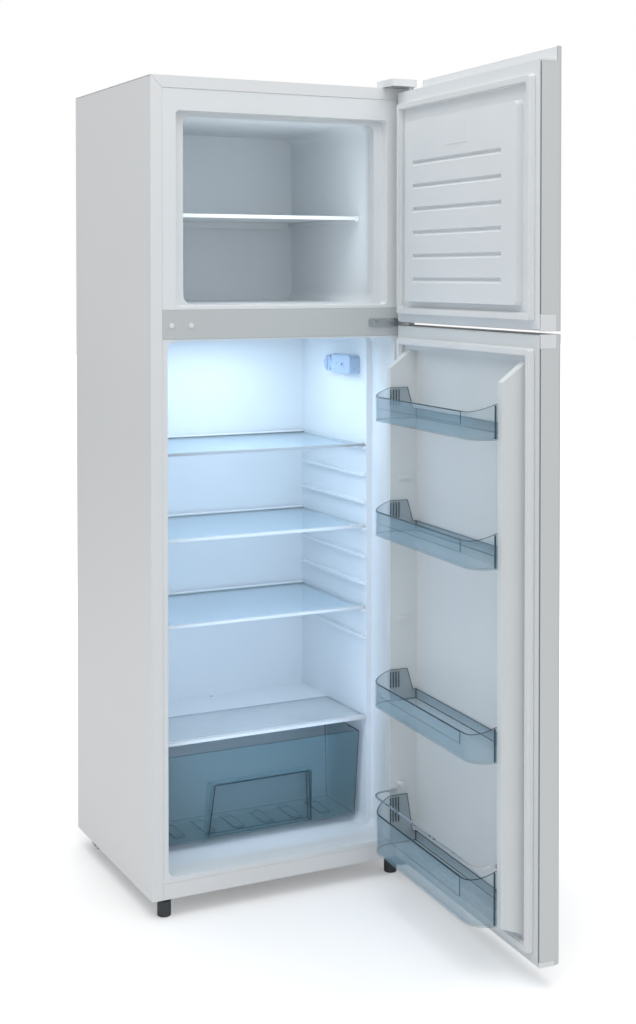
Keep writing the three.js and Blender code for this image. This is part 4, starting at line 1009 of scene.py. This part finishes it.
@dataclass
class Interior(Assembly):
    """Shelves, drawer and dial. Sizes are in millimetres."""

    grip_half: float = 113.0
    grip_share: float = 0.61
    grip_corner: float = 9.0
    drawer_tilt: float = 20.0
    line_radius: float = 1.1
    line_foot: float = 5.0
    rim_run: float = 50.0
    lip: tuple[float, float] = (4.0, 3.6)
    lip_above: float = 4.4
    lip_edge: float = 1.2
    pad_count: int = 6
    pad_margin: float = 20.0
    pad_size: tuple[float, float] = (22.0, 64.0)
    pad_corner: float = 5.0
    pad_start: float = 52.0
    pad_top: float = 4.2
    pad_line: float = 0.7
    shelf_count: int = 3
    top_shelf: int = 1
    glass_edge: float = 0.4
    cover_line: float = 3.3
    trim_edge: float = 0.7
    plate_edge: float = 0.9
    drawer_edge: float = 1.2
    drawer_line: float = 2.4
    knob_edge: float = 0.8

    def build(self) -> None:
        """Builds the loose pieces of the cabinet's inside."""
        for number in range(1, self.shelf_count + 1):
            self.stand_in(f"shelf_glass_{number}", f"shelf_{number}", self.glass_edge)
            frame = self.stand_in(f"shelf_frame_{number}", f"shelf_{number}", self.trim_edge, 2, False)
            self.paint.repaint(frame, SHADED_MOULDING if number == self.top_shelf else FRAME_MOULDING)
            self.rear_lip(number)
        self.stand_in("freezer_shelf", "freezer_shelf", self.plate_edge)
        cover = self.see_through("crisper_cover_glass", "cabinet", self.glass_edge, self.cover_line)
        self.paint.repaint(cover, COVER_GLASS)
        self.paint.repaint(self.stand_in("crisper_cover_trim", "cabinet", self.trim_edge), FRAME_MOULDING)
        drawer = self.see_through("crisper_drawer", "crisper", self.drawer_edge, self.drawer_line)
        self.paint.repaint(drawer, DRAWER_PLASTIC)
        self.grip_line()
        self.corner_line()
        self.pad_lines()
        # The white knob takes the blue-grey painted shade of its backlit side.
        self.paint.repaint(self.stand_in("thermostat_knob", "knob", self.knob_edge), SHADED_DIAL_MOULDING)

    def rear_lip(self, number: int) -> None:
        """Adds the lip that stands up along a glass shelf's rear edge, lighter than the white plastic as a
        painted highlight.

        Args:
            number: the shelf's number.
        """
        low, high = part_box(f"shelf_frame_{number}")
        deep, tall = (size * MM for size in self.lip)
        at = ((low.x + high.x) / 2, high.y - deep / 2 - MM, low.z + self.lip_above * MM + tall / 2)
        lip = Bench.bar(f"shelf_rear_lip_{number}", at, (high.x - low.x - 2 * MM, deep, tall))
        Bench.soften(lip, self.lip_edge * MM, 3)
        self.paint.repaint(self.place(lip, f"shelf_{number}", Slot.WHITE_PLASTIC), HIGHLIGHT_LIP_MOULDING)

    def on_front(self, across: float, height: float) -> tuple[float, float, float]:
        """Finds a point on the drawer's leaning front.

        Args:
            across: distance from the drawer's middle.
            height: height over the floor.

        Returns:
            The point.
        """
        low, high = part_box("crisper_drawer")
        lean = self.drawer_tilt * MM * (1 - (height - low.z) / (high.z - low.z))
        return ((low.x + high.x) / 2 + across, low.y + lean - 0.1 * MM, height)

    def corner_line(self) -> None:
        """Draws the dark edge at the drawer's right front corner and along its rim there."""
        low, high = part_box("crisper_drawer")
        side = (high.x - low.x) / 2 - 1.2 * MM
        top = self.on_front(side, high.z - 2 * MM)
        self.dark_line(Bench.pipe("drawer_corner_line", [
            (top[0], top[1] + self.rim_run * MM, top[2]), (top[0], top[1] + 6 * MM, top[2]), top,
            self.on_front(side, high.z - 8 * MM), self.on_front(side, low.z + 6 * MM)],
            0.7 * self.line_radius * MM), "crisper")

    def pad_lines(self) -> None:
        """Draws the outlines of the raised pads on the drawer's floor."""
        low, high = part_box("crisper_drawer")
        half = self.pad_size[0] / 2 * MM
        front = low.y + self.pad_start * MM
        back = front + self.pad_size[1] * MM
        middle = (front + back) / 2
        first = low.x + self.pad_margin * MM
        pitch = (high.x - low.x - 2 * self.pad_margin * MM) / self.pad_count
        turn = self.pad_corner * MM
        height = low.z + self.pad_top * MM
        loop = [(-half, middle), (-half, back - turn), (-half, back), (turn - half, back),
                (half - turn, back), (half, back), (half, back - turn), (half, front + turn), (half, front),
                (half - turn, front), (turn - half, front), (-half, front), (-half, front + turn),
                (-half, middle)]
        for number in range(self.pad_count):
            x = first + pitch * (number + 0.5)
            places = [(x + across, y, height) for across, y in loop]
            line = Bench.pipe(f"drawer_pad_line_{number + 1}", places, self.pad_line * MM)
            self.dark_line(line, "crisper")

    def grip_line(self) -> None:
        """Draws the dark rounded edge of the grip in the drawer's leaning front."""
        low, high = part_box("crisper_drawer")
        half, corner = self.grip_half * MM, self.grip_corner * MM
        top = low.z + self.grip_share * (high.z - low.z)
        foot = low.z + self.line_foot * MM
        line = Bench.pipe("drawer_grip_line", [
            self.on_front(-half, foot), self.on_front(-half + corner, top - corner),
            self.on_front(-half + corner, top), self.on_front(-half + 2 * corner, top),
            self.on_front(half - 2 * corner, top), self.on_front(half - corner, top),
            self.on_front(half - corner, top - corner), self.on_front(half, foot)], self.line_radius * MM)
        self.dark_line(line, "crisper")


@dataclass
class CoolingPlant(Assembly):
    """Condenser, compressor and their tubes at the back."""

    wire_radius: float = 0.8
    wire_pitch: float = 16.0
    wire_behind: float = 5.6
    wire_inset: float = 2.5
    tube_radius: float = 3.0
    shoulder_share: float = 0.7
    pot_edge: float = 2.0
    foot_edge: float = 0.6
    roller_edge: float = 1.2
    round_angle: float = 50.0
    small_edges: tuple[tuple[str, float], ...] = (
        ("relay_cover", 2.0), ("drip_tray", 0.8), ("filter_drier", 0.8), ("cord_gland", 0.6))

    def build(self) -> None:
        """Builds the machinery."""
        self.condenser()
        self.stand_in("compressor", "cabinet", self.pot_edge, 3, False)
        for node, edge in self.small_edges:
            self.stand_in(node, "cabinet", edge, 2, False)
        self.tubes()
        for side in ("left", "right"):
            self.stand_in(f"levelling_foot_{side}", f"foot_{side}", self.foot_edge)
            self.stand_in(f"rear_roller_{side}", f"roller_{side}", self.roller_edge, 2, False)

    def condenser(self) -> None:
        """Smooths the condenser's coil and lays upright wires against its passes."""
        coil = Bench.copy("condenser_coil", "condenser_coil_finished", False)
        Bench.smooth(coil, self.round_angle)
        self.place(coil, "cabinet", Slot.BLACK_STEEL, "condenser_coil")
        low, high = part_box("condenser_coil")
        radius, pitch = self.wire_radius * MM, self.wire_pitch * MM
        inset = self.wire_inset * pitch
        span = high.x - low.x - 2 * inset
        count = int(span / pitch) + 1
        Bench.clear()
        bpy.ops.mesh.primitive_cylinder_add(
            vertices=8, radius=radius, depth=high.z - low.z,
            location=(low.x + inset, high.y - self.wire_behind * MM, (low.z + high.z) / 2))
        wires = Bench.row(Bench.named("condenser_wires"), count, (pitch, 0, 0))
        self.place(Bench.smooth(wires, self.round_angle), "cabinet", Slot.BLACK_STEEL)

    def tubes(self) -> None:
        """Bends the copper tubes from the compressor to the drier and up to the evaporator."""
        can_low, can_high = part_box("compressor")
        drier_low, drier_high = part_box("filter_drier")
        tray_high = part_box("drip_tray")[1]
        middle = (can_low + can_high) / 2
        drier = (drier_low + drier_high) / 2
        shoulder = can_low.z + self.shoulder_share * (can_high.z - can_low.z)
        pressure = Bench.pipe("pressure_tube", [
            (middle.x - 0.03, middle.y - 0.045, shoulder),
            (can_low.x - 0.01, middle.y - 0.05, shoulder + 0.01),
            (drier.x, middle.y - 0.04, drier_high.z + 0.02), (drier.x, drier.y, drier_high.z + 0.03),
            (drier.x, drier.y, drier_high.z - 0.004)], self.tube_radius * MM)
        self.place(pressure, "cabinet", Slot.COPPER)
        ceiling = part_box("base_pan")[1].z
        outside = tray_high.x + 0.008
        suction = Bench.pipe("suction_tube", [
            (middle.x + 0.05, middle.y + 0.02, shoulder), (outside, middle.y + 0.02, shoulder + 0.005),
            (outside, middle.y + 0.01, tray_high.z), (outside, middle.y, ceiling - 0.002)],
            self.tube_radius * MM)
        self.place(suction, "cabinet", Slot.COPPER)


# ---------------------------------------------------------------- studio


@dataclass(frozen=True)
class Lamp:
    """A soft rectangular lamp that the camera doesn't see."""

    name: str
    at: Sequence[float]
    aim: Sequence[float]
    width: float
    height: float
    power: float
    colour: Colour
    mirrored: bool = True

    def hang(self) -> None:
        """Adds the lamp to the scene."""
        lamp = bpy.data.lights.new(self.name, "AREA")
        lamp.shape = "RECTANGLE"
        lamp.size, lamp.size_y = self.width, self.height
        lamp.energy = self.power
        lamp.color = self.colour
        stand = bpy.data.objects.new(self.name, lamp)
        bpy.context.scene.collection.objects.link(stand)
        stand.location = self.at
        stand.rotation_euler = (Vector(self.aim) - Vector(self.at)).to_track_quat("-Z", "Y").to_euler()
        stand.visible_camera = False
        stand.visible_glossy = self.mirrored


@dataclass(frozen=True)
class Studio:
    """Floor, light and camera."""

    camera_at: tuple[float, float, float] = (-1.2933, -2.6917, 1.2100)
    yaw: float = 26.73
    pitch: float = 1.23
    lens: float = 55.08
    shift: tuple[float, float] = (-0.00875, -0.1994)
    floor_size: float = 40.0
    floor_fade: tuple[float, float, float, float] = (0.4, 1.5, 0.22, 1.0)
    surround: float = 0.5
    daylight: Colour = (1.0, 0.99, 0.975)
    cold: Colour = (0.46, 0.70, 1.0)
    cool: Colour = (0.74, 0.88, 1.0)

    def build(self) -> None:
        """Builds the studio."""
        self.set_camera()
        self.lay_floor()
        self.surround_light()
        for lamp in (*self.room_lamps(), *self.inside_lamps()):
            lamp.hang()

    def set_camera(self) -> None:
        """Adds the camera."""
        lens = bpy.data.cameras.new("camera")
        lens.lens = self.lens
        lens.sensor_width = 36.0
        lens.shift_x, lens.shift_y = self.shift
        lens.clip_end = 100.0
        camera = bpy.data.objects.new("camera", lens)
        bpy.context.scene.collection.objects.link(camera)
        camera.location = self.camera_at
        camera.rotation_euler = (math.radians(90 - self.pitch), 0, math.radians(-self.yaw))
        bpy.context.scene.camera = camera

    def lay_floor(self) -> None:
        """Adds a pale floor."""
        Bench.clear()
        bpy.ops.mesh.primitive_plane_add(size=self.floor_size)
        floor = Bench.named("floor")
        recipe = Recipe("pale_floor")
        recipe.colours(recipe.noise(1.5), (0.80, 0.805, 0.81), (0.82, 0.82, 0.82))
        recipe.value(Roughness=0.8, Specular_IOR_Level=0.2, Emission_Color=(1, 1, 1, 1))
        seen = recipe.node("ShaderNodeLightPath").outputs["Is Camera Ray"]
        away = recipe.node("ShaderNodeVectorMath", Vector=recipe.place)
        away.operation = "LENGTH"
        reach = recipe.node("ShaderNodeMapRange", Value=away.outputs["Value"])
        for name, amount in zip(("From Min", "From Max", "To Min", "To Max"), self.floor_fade):
            reach.inputs[name].default_value = amount
        lift = recipe.node("ShaderNodeMath")
        lift.operation = "MULTIPLY"
        recipe.tree.links.new(seen, lift.inputs[0])
        recipe.tree.links.new(reach.outputs[0], lift.inputs[1])
        recipe.link(lift.outputs[0], "Emission Strength")
        floor.data.materials.append(recipe.material)

    def surround_light(self) -> None:
        """Adds an even surround that gives soft light and is seen as white."""
        world = bpy.data.worlds.new("surround")
        world.use_nodes = True
        nodes, links = world.node_tree.nodes, world.node_tree.links
        light = nodes["Background"]
        light.inputs["Color"].default_value = (0.95, 0.975, 1.0, 1)
        light.inputs["Strength"].default_value = self.surround
        seen = nodes.new("ShaderNodeBackground")
        seen.inputs["Color"].default_value = (1, 1, 1, 1)
        mix = nodes.new("ShaderNodeMixShader")
        path = nodes.new("ShaderNodeLightPath")
        links.new(path.outputs["Is Camera Ray"], mix.inputs[0])
        links.new(light.outputs[0], mix.inputs[1])
        links.new(seen.outputs[0], mix.inputs[2])
        links.new(mix.outputs[0], nodes["World Output"].inputs["Surface"])
        bpy.context.scene.world = world

    def room_lamps(self) -> list[Lamp]:
        """Lists the lamps of the room: a wide one overhead and a weak one from the front.

        Returns:
            The lamps.
        """
        return [
            Lamp("overhead", (-0.4, -0.6, 4.2), (-0.1, -0.1, 0.0), 5.0, 5.0, 156.0, self.daylight),
            Lamp("front", (-0.8, -3.6, 3.0), (0.0, 0.0, 1.4), 2.0, 1.6, 12.0, self.daylight),
        ]

    def inside_lamps(self) -> list[Lamp]:
        """Sizes the cold light of both compartments to their mouths.

        Returns:
            The lamps inside.
        """
        bar_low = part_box("centre_crossbar")[0]
        low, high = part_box("fridge_liner")
        cold_low, cold_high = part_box("freezer_liner")
        middle = (low.x + high.x) / 2
        mouth = low.y + 40 * MM
        width = 0.75 * (high.x - low.x)
        fridge_z = (low.z + high.z) / 2
        freezer_z = (cold_low.z + cold_high.z) / 2
        deep = (low.y + high.y) / 2
        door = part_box("fridge_door_liner")[0]
        beside = (door.y + low.y) / 2
        return [
            Lamp("fridge_glow", (middle, mouth, fridge_z), (middle, high.y, fridge_z), width,
                 0.9 * (high.z - low.z), 1.08, self.cold),
            Lamp("fridge_ceiling", (middle, deep, bar_low.z - 0.02), (middle, deep, low.z), 0.6 * width, 0.2,
                 0.75, self.cool),
            Lamp("freezer_glow", (middle, mouth, freezer_z), (middle, cold_high.y, freezer_z), width,
                 0.75 * (cold_high.z - cold_low.z), 0.27, self.cool),
            Lamp("door_glow", (door.x - 0.2, beside, fridge_z), (door.x, beside, fridge_z), 0.4, 0.9, 0.22,
                 self.cold, mirrored=False),
        ]


def main() -> None:
    """Builds the refrigerator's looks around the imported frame."""
    logging.basicConfig(level=logging.INFO, format="%(message)s")
    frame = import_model()
    paint = Paintbox(frame["record"])
    for name, node in frame["nodes"].items():
        paint.dress(node, paint.slot_of[name])
    Studio().build()
    bpy.context.scene.view_settings.view_transform = "Standard"
    for assembly in (Cabinet, Doors, DoorStorage, Interior, CoolingPlant):
        assembly(paint, frame["record"]).build()
        LOG.info("%s built", assembly.__name__)


if __name__ == "__main__":
    main()
